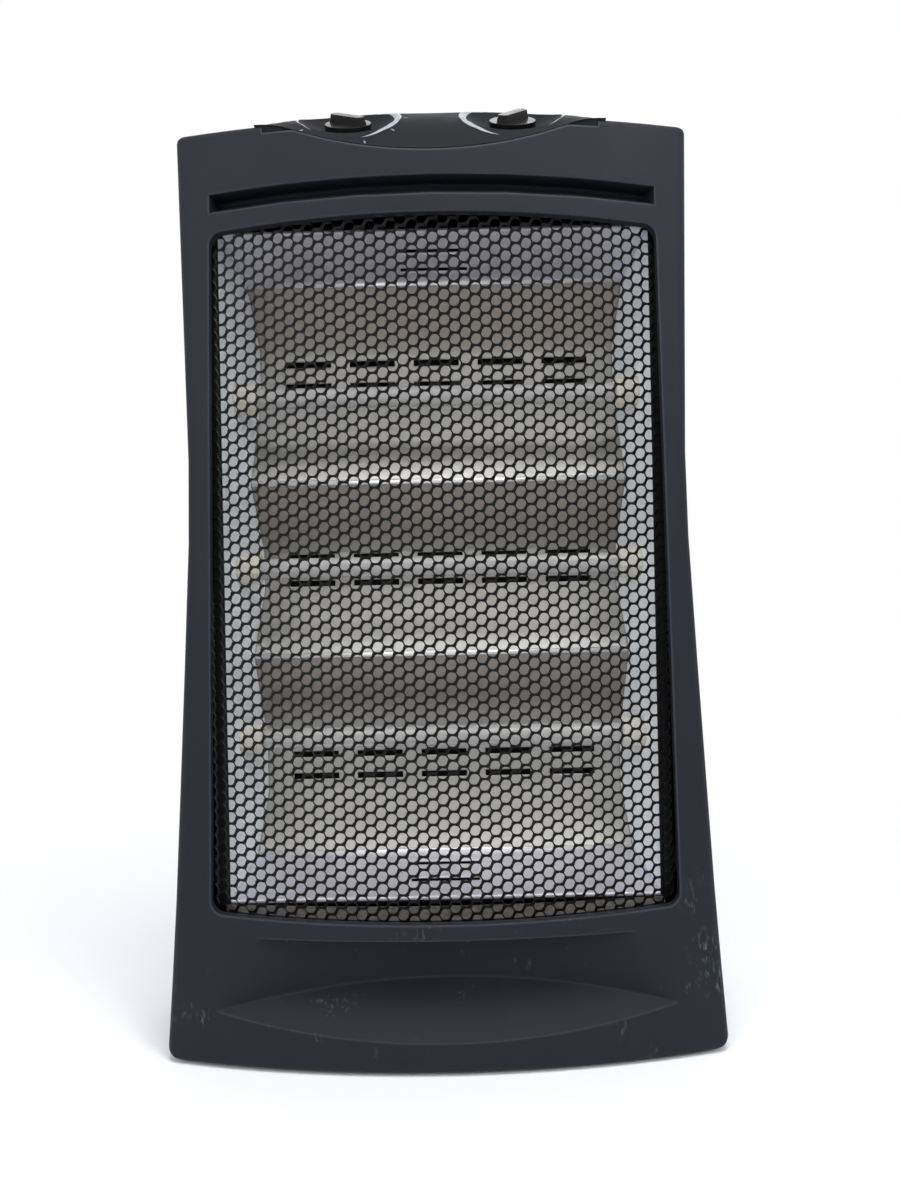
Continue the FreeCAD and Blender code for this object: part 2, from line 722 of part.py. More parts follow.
def switch_body(side, depth, round_case):
    """Case under the panel with its threaded bush, bored for the shaft."""
    half = side / 2
    if round_case:
        case = rod(half, Vec(0, 0, -WALL - depth), UP, depth)
    else:
        case = block(-half, half, -half, half, -WALL - depth, -WALL)
    bush = rod(BUSH_RADIUS, Vec(0, 0, -WALL - depth / 4), UP, WALL + depth / 4 + BUSH_TOP)
    terminals = []
    for offset in (-half / 2, half / 2):
        foot = -WALL - depth
        terminals.append(block(offset - 2, offset + 2, -0.5, 0.5, foot - 6, foot + 1))
    bore_foot = -WALL - SHAFT_TOP / 2 - SHAFT_PLAY
    bore = turned(SHAFT_RADIUS + SHAFT_PLAY, Vec(0, 0, bore_foot), UP, BUSH_TOP - bore_foot + 1)
    return join([case, bush] + terminals).cut(bore)


# Chassis pan and reflector
def side_plane(y):
    """Inner half-width of the reflector's side panels at depth y."""
    return REFLECTOR_HALF_WIDTH - SIDE_DRAFT * (y - CHASSIS_Y)


def tube_z(level):
    return REFLECTOR_MID + level * TUBE_PITCH


def chassis_ears():
    top = REFLECTOR_MID + CHASSIS_HALF_HEIGHT - EAR_DROP
    bottom = REFLECTOR_MID - CHASSIS_HALF_HEIGHT + EAR_DROP
    return [(half_width(z) - WALL - EAR_INSET, z) for z in (top, bottom)]


def both_sides(places):
    return [(side * x, z) for side in SIDES.values() for x, z in places]


def slot(length, height, centre, depth):
    """Cutter of a punched or moulded slot, along Y."""
    corner = centre - Vec(length / 2, depth / 2, height / 2)
    return Part.makeBox(length, depth, height, corner)


def chassis_pan():
    sheet = CHASSIS_SHEET
    bottom = REFLECTOR_MID - CHASSIS_HALF_HEIGHT
    top = REFLECTOR_MID + CHASSIS_HALF_HEIGHT
    outer = block(-CHASSIS_HALF, CHASSIS_HALF, CHASSIS_Y, CHASSIS_BACK, bottom - sheet, top + sheet)
    inner = block(-CHASSIS_INNER, CHASSIS_INNER, CHASSIS_Y - sheet, CHASSIS_BACK - sheet, bottom, top)
    pan = outer.cut(inner)
    extras = []
    for x, z in both_sides(chassis_ears()):
        reach = abs(x) + BOSS_RADIUS
        ear = block(CHASSIS_INNER, reach, CHASSIS_Y, CHASSIS_Y + sheet, z - EAR_HALF, z + EAR_HALF)
        extras.append(ear if x > 0 else mirror_x(ear))
    lip = block(side_plane(CHASSIS_Y), CHASSIS_HALF - sheet / 2, CHASSIS_Y, CHASSIS_Y + sheet, bottom, top)
    extras += [lip, mirror_x(lip)]
    dimple_y = BAY_Y + REFLECTOR_SHEET
    for level in TUBES.values():
        for side in SIDES.values():
            foot = Vec(side * DIMPLE_X, dimple_y, REFLECTOR_MID + level * OUTER_FLAT_OFFSET)
            extras.append(rod(DIMPLE_RADIUS, foot, BACK, CHASSIS_BACK - sheet / 2 - dimple_y))
    pan = join([pan] + extras)
    holes = []
    for x, z in both_sides(chassis_ears()):
        holes.append(rod(SCREW_RADIUS + FIT_GAP, Vec(x, CHASSIS_Y - 1, z), BACK, sheet + 2))
    for level in TUBES.values():
        start = Vec(-CHASSIS_HALF - 1, TUBE_Y, tube_z(level))
        holes.append(rod(CAP_NECK_RADIUS + CAP_PLAY, start, RIGHT, 2 * CHASSIS_HALF + 2))
    return pan.cut(Part.makeCompound(holes))


def reflector_cavity():
    """Space between the side panels, less the fitting gap."""
    front = CHASSIS_Y - REFLECTOR_SHEET
    back = CHASSIS_BACK
    corners = []
    for y in (front, back):
        corners.append(Vec(side_plane(y) - FIT_GAP, y, 0))
    points = corners + [Vec(-corner.x, corner.y, 0) for corner in reversed(corners)]
    return polygon_face(points).extrude(Vec(0, 0, SHOULDER_HEIGHT))


def slot_row(z, y, count, length, pitch):
    middle = (count - 1) / 2
    return [slot(length, SLOT_HEIGHT, Vec((step - middle) * pitch, y, z), BAY_DEPTH)
            for step in range(count)]


def reflector_back():
    end_edge = REFLECTOR_HALF_HEIGHT - END_PANEL_SLOPE
    outer_top = OUTER_FLAT_OFFSET + OUTER_FLAT / 2
    outer_foot = OUTER_FLAT_OFFSET - OUTER_FLAT / 2
    upper = [(RIDGE_Y, end_edge), (BAY_Y, outer_top), (BAY_Y, outer_foot), (RIDGE_Y, RIDGE_OFFSET),
             (BAY_Y, MIDDLE_FLAT / 2)]
    line = upper + [(y, -z) for y, z in reversed(upper)]
    start = -REFLECTOR_HALF_WIDTH
    face = [Vec(start, y, REFLECTOR_MID + z) for y, z in line]
    rear = [point + BACK * REFLECTOR_SHEET for point in reversed(face)]
    sheet = polygon_face(face + rear).extrude(RIGHT * (2 * REFLECTOR_HALF_WIDTH))
    sheet = sheet.common(reflector_cavity())
    rows = [MIDDLE_ROW_OFFSET, -MIDDLE_ROW_OFFSET]
    for bay in (OUTER_FLAT_OFFSET, -OUTER_FLAT_OFFSET):
        rows += [bay + OUTER_ROW_OFFSET, bay - OUTER_ROW_OFFSET]
    slots = []
    for row in rows:
        slots += slot_row(REFLECTOR_MID + row, BAY_Y, SLOTS_PER_ROW, SLOT_LENGTH, SLOT_PITCH)
    return sheet.cut(Part.makeCompound(slots))


def reflector_end():
    """Sloping top panel of the reflector, with its lip on the pan and two slots."""
    sheet = REFLECTOR_SHEET
    low = REFLECTOR_MID + REFLECTOR_HALF_HEIGHT - END_PANEL_SLOPE
    high = REFLECTOR_MID + REFLECTOR_HALF_HEIGHT
    lip = REFLECTOR_MID + CHASSIS_HALF_HEIGHT
    start = -REFLECTOR_HALF_WIDTH
    profile = [(CHASSIS_Y, high), (RIDGE_Y, low), (RIDGE_Y, low + sheet), (CHASSIS_Y + sheet, high + sheet),
               (CHASSIS_Y + sheet, lip), (CHASSIS_Y, lip)]
    panel = polygon_face([Vec(start, y, z) for y, z in profile]).extrude(RIGHT * (2 * REFLECTOR_HALF_WIDTH))
    panel = panel.common(reflector_cavity())
    half = END_SLOT_LENGTH / 2
    for place in END_SLOT_PLACES:
        y = CHASSIS_Y + place
        panel = panel.cut(block(-half, half, y, y + SLOT_HEIGHT, low - sheet, lip + sheet))
    return panel


def reflector_bottom():
    return reflector_end().mirror(Vec(0, 0, REFLECTOR_MID), UP)


def reflector_side():
    """Right side panel, with clearance holes for the ceramic caps."""
    sheet = REFLECTOR_SHEET
    front = CHASSIS_Y + CHASSIS_SHEET
    back = CHASSIS_Y + SIDE_DEPTH
    bottom = REFLECTOR_MID - REFLECTOR_HALF_HEIGHT
    height = 2 * REFLECTOR_HALF_HEIGHT
    outline = [(side_plane(front), front), (CHASSIS_INNER, front), (CHASSIS_INNER, front + sheet),
               (side_plane(front + sheet) + sheet, front + sheet), (side_plane(back) + sheet, back),
               (side_plane(back), back)]
    panel = polygon_face([Vec(x, y, bottom) for x, y in outline]).extrude(UP * height)
    holes = []
    for level in TUBES.values():
        start = Vec(side_plane(BAY_Y) - CAP_LENGTH, TUBE_Y, tube_z(level))
        holes.append(rod(CAP_RADIUS + 2 * FIT_GAP, start, RIGHT, 3 * CAP_LENGTH))
    return panel.cut(Part.makeCompound(holes))


# Heating elements
def cap_start():
    return CHASSIS_INNER - CAP_LENGTH


def tube_half():
    return cap_start() + CAP_SOCKET - FIT_GAP


def quartz_tube(level):
    start = Vec(-tube_half(), TUBE_Y, tube_z(level))
    length = 2 * tube_half()
    bore = rod(TUBE_RADIUS - TUBE_WALL, start, RIGHT, length, TUBE_SIDES)
    return rod(TUBE_RADIUS, start, RIGHT, length, TUBE_SIDES).cut(bore)


def neck_end():
    return CHASSIS_INNER + CAP_NECK


def heating_coil(level):
    core = tube_half() - COIL_END_GAP
    pin = neck_end() + STRIP_SHEET + PIN_PROUD
    middle = Vec(0, TUBE_Y, tube_z(level))
    return join([rod(COIL_RADIUS, middle - RIGHT * core, RIGHT, 2 * core),
                 rod(PIN_RADIUS, middle - RIGHT * pin, RIGHT, 2 * pin)])


def ceramic_cap(level):
    axis = Vec(0, TUBE_Y, tube_z(level))
    body = rod(CAP_RADIUS, axis + RIGHT * cap_start(), RIGHT, CAP_LENGTH)
    neck = rod(CAP_NECK_RADIUS, axis + RIGHT * cap_start(), RIGHT, CAP_LENGTH + CAP_NECK)
    mouth = axis + RIGHT * (cap_start() - 1)
    socket = rod(TUBE_RADIUS + CAP_PLAY, mouth, RIGHT, CAP_SOCKET + 1, TUBE_SIDES)
    bore = rod(PIN_RADIUS + PIN_PLAY, axis, RIGHT, 2 * neck_end())
    return join([body, neck]).cut(socket).cut(bore)


def bus_strip():
    half = STRIP_WIDTH / 2
    x = neck_end()
    strip = block(x, x + STRIP_SHEET, TUBE_Y - half, TUBE_Y + half, tube_z(-1) - half, tube_z(1) + half)
    holes = [rod(PIN_RADIUS + PIN_PLAY, Vec(x - 1, TUBE_Y, tube_z(level)), RIGHT, STRIP_SHEET + 2)
             for level in TUBES.values()]
    return strip.cut(Part.makeCompound(holes))


# Screws and the places that they go to
def screw(seat, axis, length):
    """Pan-head screw: the head's underside lies on the seat, the shank runs along the axis."""
    head = rod(SCREW_HEAD_RADIUS, seat - axis * SCREW_HEAD_HEIGHT, axis, SCREW_HEAD_HEIGHT)
    return join([head, rod(SCREW_RADIUS, seat, axis, length)])


def pilot(seat, axis, length):
    return rod(SCREW_RADIUS + SCREW_PLAY, seat, axis, length + 1)


def cover_screw_places():
    top = SHOULDER_HEIGHT - TOWER_TOP_DROP
    places = [
        (half_width(top) - TOWER_TOP_INSET, top),
        (window_half(TOWER_LOW) + GRILLE_FLANGE + TOWER_RADIUS + TOWER_GAP, TOWER_LOW),
        (half_width(TOWER_FOOT) - TOWER_FOOT_INSET, TOWER_FOOT),
    ]
    return both_sides(places)


def cover_screws():
    length = TOWER_SEAT + SCREW_BITE
    return [screw(Vec(x, PARTING_Y + TOWER_SEAT, z), -BACK, length) for x, z in cover_screw_places()]


def chassis_screws():
    seat = CHASSIS_Y + CHASSIS_SHEET
    return [screw(Vec(x, seat, z), -BACK, CHASSIS_SHEET + SCREW_BITE / 2) for x, z in both_sides(chassis_ears())]


def grille_tabs():
    heights = (WINDOW_TOP - GRILLE_TAB_DROP, WINDOW_BOTTOM + GRILLE_TAB_RISE)
    return [(half_width(z) - WALL - GRILLE_TAB_INSET, z) for z in heights]


def grille_screws():
    rear = GRILLE_DEPTH + GRILLE_SHEET + FIT_GAP
    spots = [bow_spot(x, rear, z) for x, z in both_sides(grille_tabs())]
    return [screw(spot, -inward, GRILLE_SHEET + SCREW_BITE / 2) for spot, inward in spots]


def post_places():
    x = half_width(BASE_TOP) - WALL - POST_INSET
    return [(side * x, y) for side in SIDES.values() for y in (POST_FRONT_Y, POST_REAR_Y)]


def base_screws():
    return [screw(Vec(x, y, BASE_LIFT), UP, BASE_SHEET + SCREW_BITE) for x, y in post_places()]


# Shells of the housing
def front_bezel(skin):
    front = front_slab(-FAR, PARTING_Y)
    hollow = tower(WALL, 0, SHOULDER_HEIGHT - WALL)
    hollow = hollow.cut(niche(WALL)).cut(groove(WALL))
    shell = skin.common(front).cut(niche(0)).cut(groove(0)).cut(hollow)
    core = tower(WALL / 2, FLOOR_GAP, SHOULDER_HEIGHT - WALL / 2)
    core = core.cut(niche(WALL / 2)).cut(groove(WALL / 2)).common(front)
    rim = window_prism(RIM_WIDTH, -BASE_DEPTH, PARTING_Y).common(core)
    rim = rim.cut(tower(RIM_DEPTH, FLOOR_GAP, SHOULDER_HEIGHT - WALL))
    start = -BASE_DEPTH
    bosses = []
    pilots = []
    for x, z in both_sides(chassis_ears()):
        bosses.append(rod(BOSS_RADIUS, Vec(x, start, z), BACK, CHASSIS_Y - start))
        pilots.append(pilot(Vec(x, CHASSIS_Y, z), -BACK, SCREW_BITE / 2))
    for x, z in cover_screw_places():
        bosses.append(rod(TOWER_RADIUS, Vec(x, start, z), BACK, PARTING_Y - start))
        pilots.append(pilot(Vec(x, PARTING_Y, z), -BACK, SCREW_BITE))
    for x, z in both_sides(grille_tabs()):
        seat, inward = bow_spot(x, GRILLE_DEPTH - FIT_GAP, z)
        bosses.append(rod(BOSS_RADIUS, seat - inward * GRILLE_DEPTH, inward, GRILLE_DEPTH))
        pilots.append(pilot(seat, -inward, SCREW_BITE / 2))
    for x, y in post_places():
        if y < PARTING_Y:
            bosses.append(rod(POST_RADIUS, Vec(x, y, BASE_TOP), UP, POST_HEIGHT))
            pilots.append(pilot(Vec(x, y, BASE_TOP), UP, SCREW_BITE))
    bosses = [boss.common(core) for boss in bosses]
    bezel = join([shell, rim] + bosses)
    bezel = bezel.cut(window_prism(0, -BASE_DEPTH, PARTING_Y)).cut(seam_cut())
    return bezel.cut(shoulder_opening()).cut(Part.makeCompound(pilots))


def handle_pocket(grow):
    z = SHOULDER_HEIGHT - HANDLE_DROP
    half = HANDLE_WIDTH / 2 + grow
    tall = HANDLE_HEIGHT / 2 + grow
    floor = rear_y(z) - HANDLE_DEPTH - grow
    pocket = block(-half, half, floor, BASE_DEPTH, z - tall, z + tall)
    corners = [edge for edge in pocket.Edges if edge.BoundBox.YLength > HANDLE_DEPTH]
    return pocket.makeFillet(HANDLE_CORNER + grow, corners)


def vents():
    slots = []
    for row in range(VENT_ROWS):
        z = VENT_BOTTOM + row * VENT_PITCH
        for side in SIDES.values():
            centre = Vec(side * VENT_X, rear_surface(VENT_X, z), z)
            slots.append(slot(VENT_LENGTH, VENT_HEIGHT, centre, BAY_DEPTH))
    return slots


def gland_placement():
    """Frame of the cord gland: origin on the rear wall, Z square out of it."""
    step = 1.0
    lean = rear_surface(GLAND_X, GLAND_HEIGHT + step) - rear_surface(GLAND_X, GLAND_HEIGHT - step)
    swing = rear_surface(GLAND_X + step, GLAND_HEIGHT) - rear_surface(GLAND_X - step, GLAND_HEIGHT)
    out = Vec(-swing / (2 * step), 1, -lean / (2 * step)).normalize()
    spot = Vec(GLAND_X, rear_surface(GLAND_X, GLAND_HEIGHT), GLAND_HEIGHT)
    return FreeCAD.Placement(spot, FreeCAD.Rotation(UP, out))


def rear_cover(skin):
    rear = front_slab(PARTING_Y, FAR)
    hollow = tower(WALL, 0, SHOULDER_HEIGHT - WALL).cut(handle_pocket(WALL))
    core = tower(WALL / 2, FLOOR_GAP, SHOULDER_HEIGHT - WALL / 2).common(rear)
    shell = skin.common(rear).cut(handle_pocket(0)).cut(hollow)
    towers = []
    cuts = vents()
    for x, z in cover_screw_places():
        towers.append(rod(TOWER_RADIUS, Vec(x, PARTING_Y, z), BACK, BASE_DEPTH))
        cuts.append(rod(SCREW_RADIUS + FIT_GAP, Vec(x, PARTING_Y - 1, z), BACK, BASE_DEPTH))
        cuts.append(rod(SCREW_HEAD_RADIUS + FIT_GAP, Vec(x, PARTING_Y + TOWER_SEAT, z), BACK, BASE_DEPTH))
    for x, y in post_places():
        if y > PARTING_Y:
            towers.append(rod(POST_RADIUS, Vec(x, y, BASE_TOP), UP, POST_HEIGHT))
            cuts.append(pilot(Vec(x, y, BASE_TOP), UP, SCREW_BITE))
    cuts.append(placed(rod(GLAND_RADIUS + FIT_GAP, Vec(0, 0, -GLAND_LENGTH), UP, 2 * GLAND_LENGTH),
                       gland_placement()))
    pad = rod(GLAND_FLANGE + GLAND_PAD, Vec(0, 0, -WALL / 2), UP, WALL / 2 + GLAND_PAD)
    additions = [tower_rod.common(core) for tower_rod in towers] + [placed(pad, gland_placement())]
    cover = join([shell] + additions)
    return cover.cut(shoulder_opening()).cut(Part.makeCompound(cuts))


# Guard grille
def cell_face(x, z):
    radius = (CELL_PITCH - STRAND) / math.sqrt(3)
    corners = []
    for step in range(6):
        angle = math.radians(60 * step)
        corners.append(Vec(x + radius * math.cos(angle), 0, z + radius * math.sin(angle)))
    return polygon_face(corners)


def grille_cells():
    column_pitch = CELL_PITCH * math.sqrt(3) / 2
    middle = (WINDOW_TOP + WINDOW_BOTTOM) / 2
    columns = int((window_half(WINDOW_BOTTOM) + CELL_PITCH) / column_pitch)
    rows = int((WINDOW_TOP - WINDOW_BOTTOM) / 2 / CELL_PITCH) + 1
    cells = []
    for column in range(-columns, columns + 1):
        shift = CELL_PITCH / 2 * (column % 2)
        for row in range(-rows, rows + 1):
            cells.append((column * column_pitch, middle + row * CELL_PITCH + shift))
    return cells


def bow_sheet():
    """Grille sheet before its mesh is cut, bent along upright lines to follow the bow."""
    half = BASE_WIDTH / 2
    rise = (half / BOW_PANELS) ** 2 / (4 * FRONT_BOW_RADIUS)

    def bends(depth):
        places = [half * (2 * step / BOW_PANELS - 1) for step in range(BOW_PANELS + 1)]
        return [bow_spot(x, depth - rise, FLOOR_GAP)[0] for x in places]

    rear = bends(GRILLE_DEPTH + GRILLE_SHEET)
    return polygon_face(bends(GRILLE_DEPTH) + rear[::-1]).extrude(UP * SHOULDER_HEIGHT)


def grille():
    """Bowed sheet with a hexagon mesh; the cells at the edge are cut off by the flange."""
    back = CHASSIS_Y
    plate = window_prism(GRILLE_FLANGE, -BASE_DEPTH, back)
    tabs = []
    for x, z in both_sides(grille_tabs()):
        tab = block(0, abs(x) + BOSS_RADIUS, -BASE_DEPTH, back, z - GRILLE_TAB_HALF, z + GRILLE_TAB_HALF)
        tabs.append(tab if x > 0 else mirror_x(tab))
    plate = join([plate] + tabs)
    opening = window_prism(-GRILLE_MARGIN, -BASE_DEPTH, back)
    cells = []
    for x, z in grille_cells():
        cell = cell_face(x, z)
        cell.translate(Vec(0, -BASE_DEPTH, 0))
        cells.append(cell.extrude(Vec(0, BASE_DEPTH + back, 0)))
    cells = Part.makeCompound(cells).common(opening)
    sheet = bow_sheet().common(plate)
    holes = []
    for x, z in both_sides(grille_tabs()):
        seat, inward = bow_spot(x, GRILLE_DEPTH, z)
        holes.append(rod(SCREW_RADIUS + FIT_GAP, seat - inward * BOSS_RADIUS, inward, 2 * BOSS_RADIUS))
    return sheet.cut(cells).cut(Part.makeCompound(holes))


# Base
def foot_places():
    places = {}
    for name, side in SIDES.items():
        places["front_" + name] = Vec(side * FOOT_X, FOOT_FRONT_Y, 0)
        places["rear_" + name] = Vec(side * FOOT_X, FOOT_REAR_Y, 0)
    return places


def base_plate():
    plate = tower(WALL + FIT_GAP, FLOOR_GAP, SHOULDER_HEIGHT - WALL)
    plate = plate.common(block(-FAR, FAR, -FAR, FAR, BASE_LIFT, BASE_TOP))
    holes = [rod(SCREW_RADIUS + FIT_GAP, Vec(x, y, 0), UP, BASE_TOP + 1) for x, y in post_places()]
    holes += [rod(FOOT_STEM_RADIUS + SCREW_PLAY, place, UP, BASE_TOP + 1) for place in foot_places().values()]
    return plate.cut(Part.makeCompound(holes))


def foot(place):
    pad = rod(FOOT_RADIUS, place, UP, BASE_LIFT, TUBE_SIDES)
    return join([pad, rod(FOOT_STEM_RADIUS, place, UP, BASE_TOP + FOOT_STEM / 2)])


def terminal_block():
    half = BLOCK_LENGTH / 2
    wide = BLOCK_WIDTH / 2
    body = block(-half, half, BLOCK_Y - wide, BLOCK_Y + wide, BASE_TOP, BASE_TOP + BLOCK_HEIGHT)
    wells = []
    for step in (-1, 0, 1):
        for row in (-1, 1):
            spot = Vec(step * half * 2 / 3, BLOCK_Y + row * wide / 2, BASE_TOP + BLOCK_HEIGHT / 2)
            wells.append(rod(SCREW_HEAD_RADIUS, spot, UP, BLOCK_HEIGHT))
    return body.cut(Part.makeCompound(wells))


def cord_gland():
    flange = rod(GLAND_FLANGE, Vec(0, 0, GLAND_PAD), UP, GLAND_FLANGE_THICK)
    barrel = rod(GLAND_RADIUS, Vec(0, 0, -GLAND_LENGTH), UP, GLAND_LENGTH + GLAND_FLANGE_THICK)
    bore = rod(GLAND_BORE, Vec(0, 0, -2 * GLAND_LENGTH), UP, 4 * GLAND_LENGTH)
    return placed(join([flange, barrel]).cut(bore), gland_placement())


def gland_nut():
    seat = -WALL - GLAND_PAD / 2
    ring = rod(GLAND_NUT_RADIUS, Vec(0, 0, seat - GLAND_NUT_THICK), UP, GLAND_NUT_THICK)
    bore = rod(GLAND_RADIUS + SHAFT_PLAY, Vec(0, 0, -2 * GLAND_LENGTH), UP, 4 * GLAND_LENGTH)
    return placed(ring.cut(bore), gland_placement())


# Safety switches
def thermal_cutout():
    seat = CHASSIS_BACK
    half = CUTOUT_FLANGE / 2
    wide = CUTOUT_FLANGE_WIDTH / 2
    flange = block(-half, half, seat, seat + CUTOUT_SHEET, CUTOUT_Z - wide, CUTOUT_Z + wide)
    can = rod(CUTOUT_RADIUS, Vec(0, seat, CUTOUT_Z), BACK, CUTOUT_HEIGHT)
    tabs = [block(offset - 2, offset + 2, seat + CUTOUT_HEIGHT - 1, seat + CUTOUT_HEIGHT + 6,
                  CUTOUT_Z - 0.4, CUTOUT_Z + 0.4) for offset in (-4, 4)]
    return join([flange, can] + tabs)


def tip_pivot():
    return Vec(TIP_X, TIP_Y, BASE_TOP + TIP_PIVOT)


def tip_bracket():
    half = TIP_WIDTH / 2
    long = TIP_LENGTH / 2
    top = tip_pivot().z + TIP_CHEEK_TOP
    floor = block(TIP_X - half - TIP_SHEET, TIP_X + half + TIP_SHEET, TIP_Y - long, TIP_Y + long,
                  BASE_TOP, BASE_TOP + TIP_SHEET)
    cheeks = []
    for side in SIDES.values():
        cheek = block(half, half + TIP_SHEET, TIP_Y - long / 2, TIP_Y + long / 2, BASE_TOP, top)
        cheek = cheek if side > 0 else mirror_x(cheek)
        cheek.translate(RIGHT * TIP_X)
        cheeks.append(cheek)
    hole = rod(TIP_PIN_RADIUS + FIT_GAP, tip_pivot() - RIGHT * TIP_WIDTH, RIGHT, 2 * TIP_WIDTH)
    return join([floor] + cheeks).cut(hole)


def tip_pin():
    reach = TIP_WIDTH / 2 + TIP_SHEET
    head = rod(TIP_HUB_RADIUS, tip_pivot() - RIGHT * (reach + TIP_SHEET), RIGHT, TIP_SHEET)
    stem = turned(TIP_PIN_RADIUS, tip_pivot() - RIGHT * reach, RIGHT, 2 * reach + TIP_SHEET)
    return join([head, stem])


def tip_pendulum():
    half = TIP_WIDTH / 2 - TIP_SIDE_GAP
    hub = rod(TIP_HUB_RADIUS, tip_pivot() - RIGHT * half, RIGHT, 2 * half)
    bob = rod(BOB_RADIUS, tip_pivot() - RIGHT * half - UP * BOB_DROP, RIGHT, 2 * half)
    wide = STEM_WIDTH / 2
    pivot = tip_pivot()
    stem = block(pivot.x - wide, pivot.x + wide, pivot.y - wide, pivot.y + wide, pivot.z - BOB_DROP, pivot.z)
    bore = turned(TIP_PIN_RADIUS + TIP_PLAY, pivot - RIGHT * TIP_WIDTH, RIGHT, 2 * TIP_WIDTH)
    return join([hub, bob, stem]).cut(bore)


def tip_micro_switch():
    start = TIP_X + TIP_WIDTH / 2 + TIP_SHEET
    top = tip_pivot().z - TIP_HUB_RADIUS - TIP_SHEET
    half = MICRO_LENGTH / 2
    return block(start, start + MICRO_THICK, TIP_Y - half, TIP_Y + half, top - MICRO_HEIGHT, top)


def dial_nodes(nodes, name, side, turn, body):
    place = dial_placement(side)
    nodes[name + "_knob"] = placed(knob(turn), place)
    nodes[name + "_shaft"] = placed(dial_shaft(turn), place)
    nodes[name + "_nut"] = placed(dial_nut(), place)
    nodes[name + "_body"] = placed(body, place)


def build():
    skin = tower_skin()
    nodes = {
        "front_bezel": front_bezel(skin),
        "rear_cover": rear_cover(skin),
        "base_plate": base_plate(),
        "control_panel": control_panel(),
        "grille": grille(),
        "chassis_pan": chassis_pan(),
        "reflector_back": reflector_back(),
        "reflector_top": reflector_end(),
        "reflector_bottom": reflector_bottom(),
        "reflector_right": reflector_side(),
        "reflector_left": mirror_x(reflector_side()),
        "bus_strip_right": bus_strip(),
        "bus_strip_left": mirror_x(bus_strip()),
        "thermal_cutout": thermal_cutout(),
        "tip_bracket": tip_bracket(),
        "tip_pin": tip_pin(),
        "tip_pendulum": tip_pendulum(),
        "tip_micro_switch": tip_micro_switch(),
        "terminal_block": terminal_block(),
        "cord_gland": cord_gland(),
        "gland_nut": gland_nut(),
        "rear_cover_screws": Part.makeCompound(cover_screws()),
        "chassis_screws": Part.makeCompound(chassis_screws()),
        "grille_screws": Part.makeCompound(grille_screws()),
        "base_screws": Part.makeCompound(base_screws()),
    }
    for name, level in TUBES.items():
        nodes["quartz_tube_" + name] = quartz_tube(level)
        nodes["heating_coil_" + name] = heating_coil(level)
        nodes["ceramic_cap_" + name + "_right"] = ceramic_cap(level)
        nodes["ceramic_cap_" + name + "_left"] = mirror_x(ceramic_cap(level))
    for name, place in foot_places().items():
        nodes["foot_" + name] = foot(place)
    thermostat = switch_body(THERMOSTAT_SIDE, THERMOSTAT_BODY, False)
    selector = switch_body(SELECTOR_SIDE, SELECTOR_BODY, True)
    dial_nodes(nodes, "thermostat", SIDES["left"], THERMOSTAT_REST_TURN, thermostat)
    dial_nodes(nodes, "selector", SIDES["right"], SELECTOR_REST_TURN, selector)
    return nodes


os.makedirs("parts", exist_ok=True)
for node, shape in build().items():
    shape.exportStep("parts/" + node + ".step")
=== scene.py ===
import bpy
import json
import math
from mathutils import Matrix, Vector
from mathutils.bvhtree import BVHTree


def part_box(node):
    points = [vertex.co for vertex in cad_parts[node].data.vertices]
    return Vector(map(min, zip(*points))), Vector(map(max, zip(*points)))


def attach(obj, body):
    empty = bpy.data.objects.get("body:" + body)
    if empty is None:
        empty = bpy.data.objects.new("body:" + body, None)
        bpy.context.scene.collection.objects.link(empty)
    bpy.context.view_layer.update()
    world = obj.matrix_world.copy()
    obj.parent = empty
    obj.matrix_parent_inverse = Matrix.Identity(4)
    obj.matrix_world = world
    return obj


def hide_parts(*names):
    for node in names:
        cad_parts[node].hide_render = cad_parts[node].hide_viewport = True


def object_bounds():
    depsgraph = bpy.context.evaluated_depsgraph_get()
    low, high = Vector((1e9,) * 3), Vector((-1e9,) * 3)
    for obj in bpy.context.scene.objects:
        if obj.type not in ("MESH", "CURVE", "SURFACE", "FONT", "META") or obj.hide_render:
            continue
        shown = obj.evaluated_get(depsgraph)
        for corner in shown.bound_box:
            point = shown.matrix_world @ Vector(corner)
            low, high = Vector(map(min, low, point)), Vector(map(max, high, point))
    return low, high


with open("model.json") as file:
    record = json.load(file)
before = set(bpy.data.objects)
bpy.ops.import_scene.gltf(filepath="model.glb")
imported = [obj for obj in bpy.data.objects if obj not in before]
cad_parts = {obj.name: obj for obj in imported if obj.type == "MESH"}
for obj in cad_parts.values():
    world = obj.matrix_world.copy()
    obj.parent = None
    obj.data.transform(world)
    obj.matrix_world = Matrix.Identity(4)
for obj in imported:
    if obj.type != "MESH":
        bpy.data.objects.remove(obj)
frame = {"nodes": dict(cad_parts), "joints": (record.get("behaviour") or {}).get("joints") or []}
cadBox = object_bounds()
nodes = frame["nodes"]
joints = {joint["name"]: joint for joint in frame["joints"]}
mm = 0.001
levels = ("top", "middle", "bottom")
hands = ("left", "right")
print("frame loaded:", len(nodes), "pieces")


# small helpers for materials
def linear(hexColour):
    channels = [int(hexColour[i:i + 2], 16) / 255 for i in (1, 3, 5)]
    straight = [c / 12.92 if c <= 0.04045 else ((c + 0.055) / 1.055) ** 2.4 for c in channels]
    return (*straight, 1.0)


def perMm(size):
    return 1 / (size * mm)  # texture scale for a pattern of that size


mixA, mixB, mixOut = 6, 7, 2  # places of the colour sockets of a Mix node


def addNode(tree, kind, values=None, links=None):
    node = tree.nodes.new(kind)
    for key, value in (values or {}).items():
        if isinstance(key, int) or key in node.inputs:
            node.inputs[key].default_value = value
        else:
            setattr(node, key, value)
    for key, source in (links or {}).items():
        tree.links.new(source, node.inputs[key])
    return node


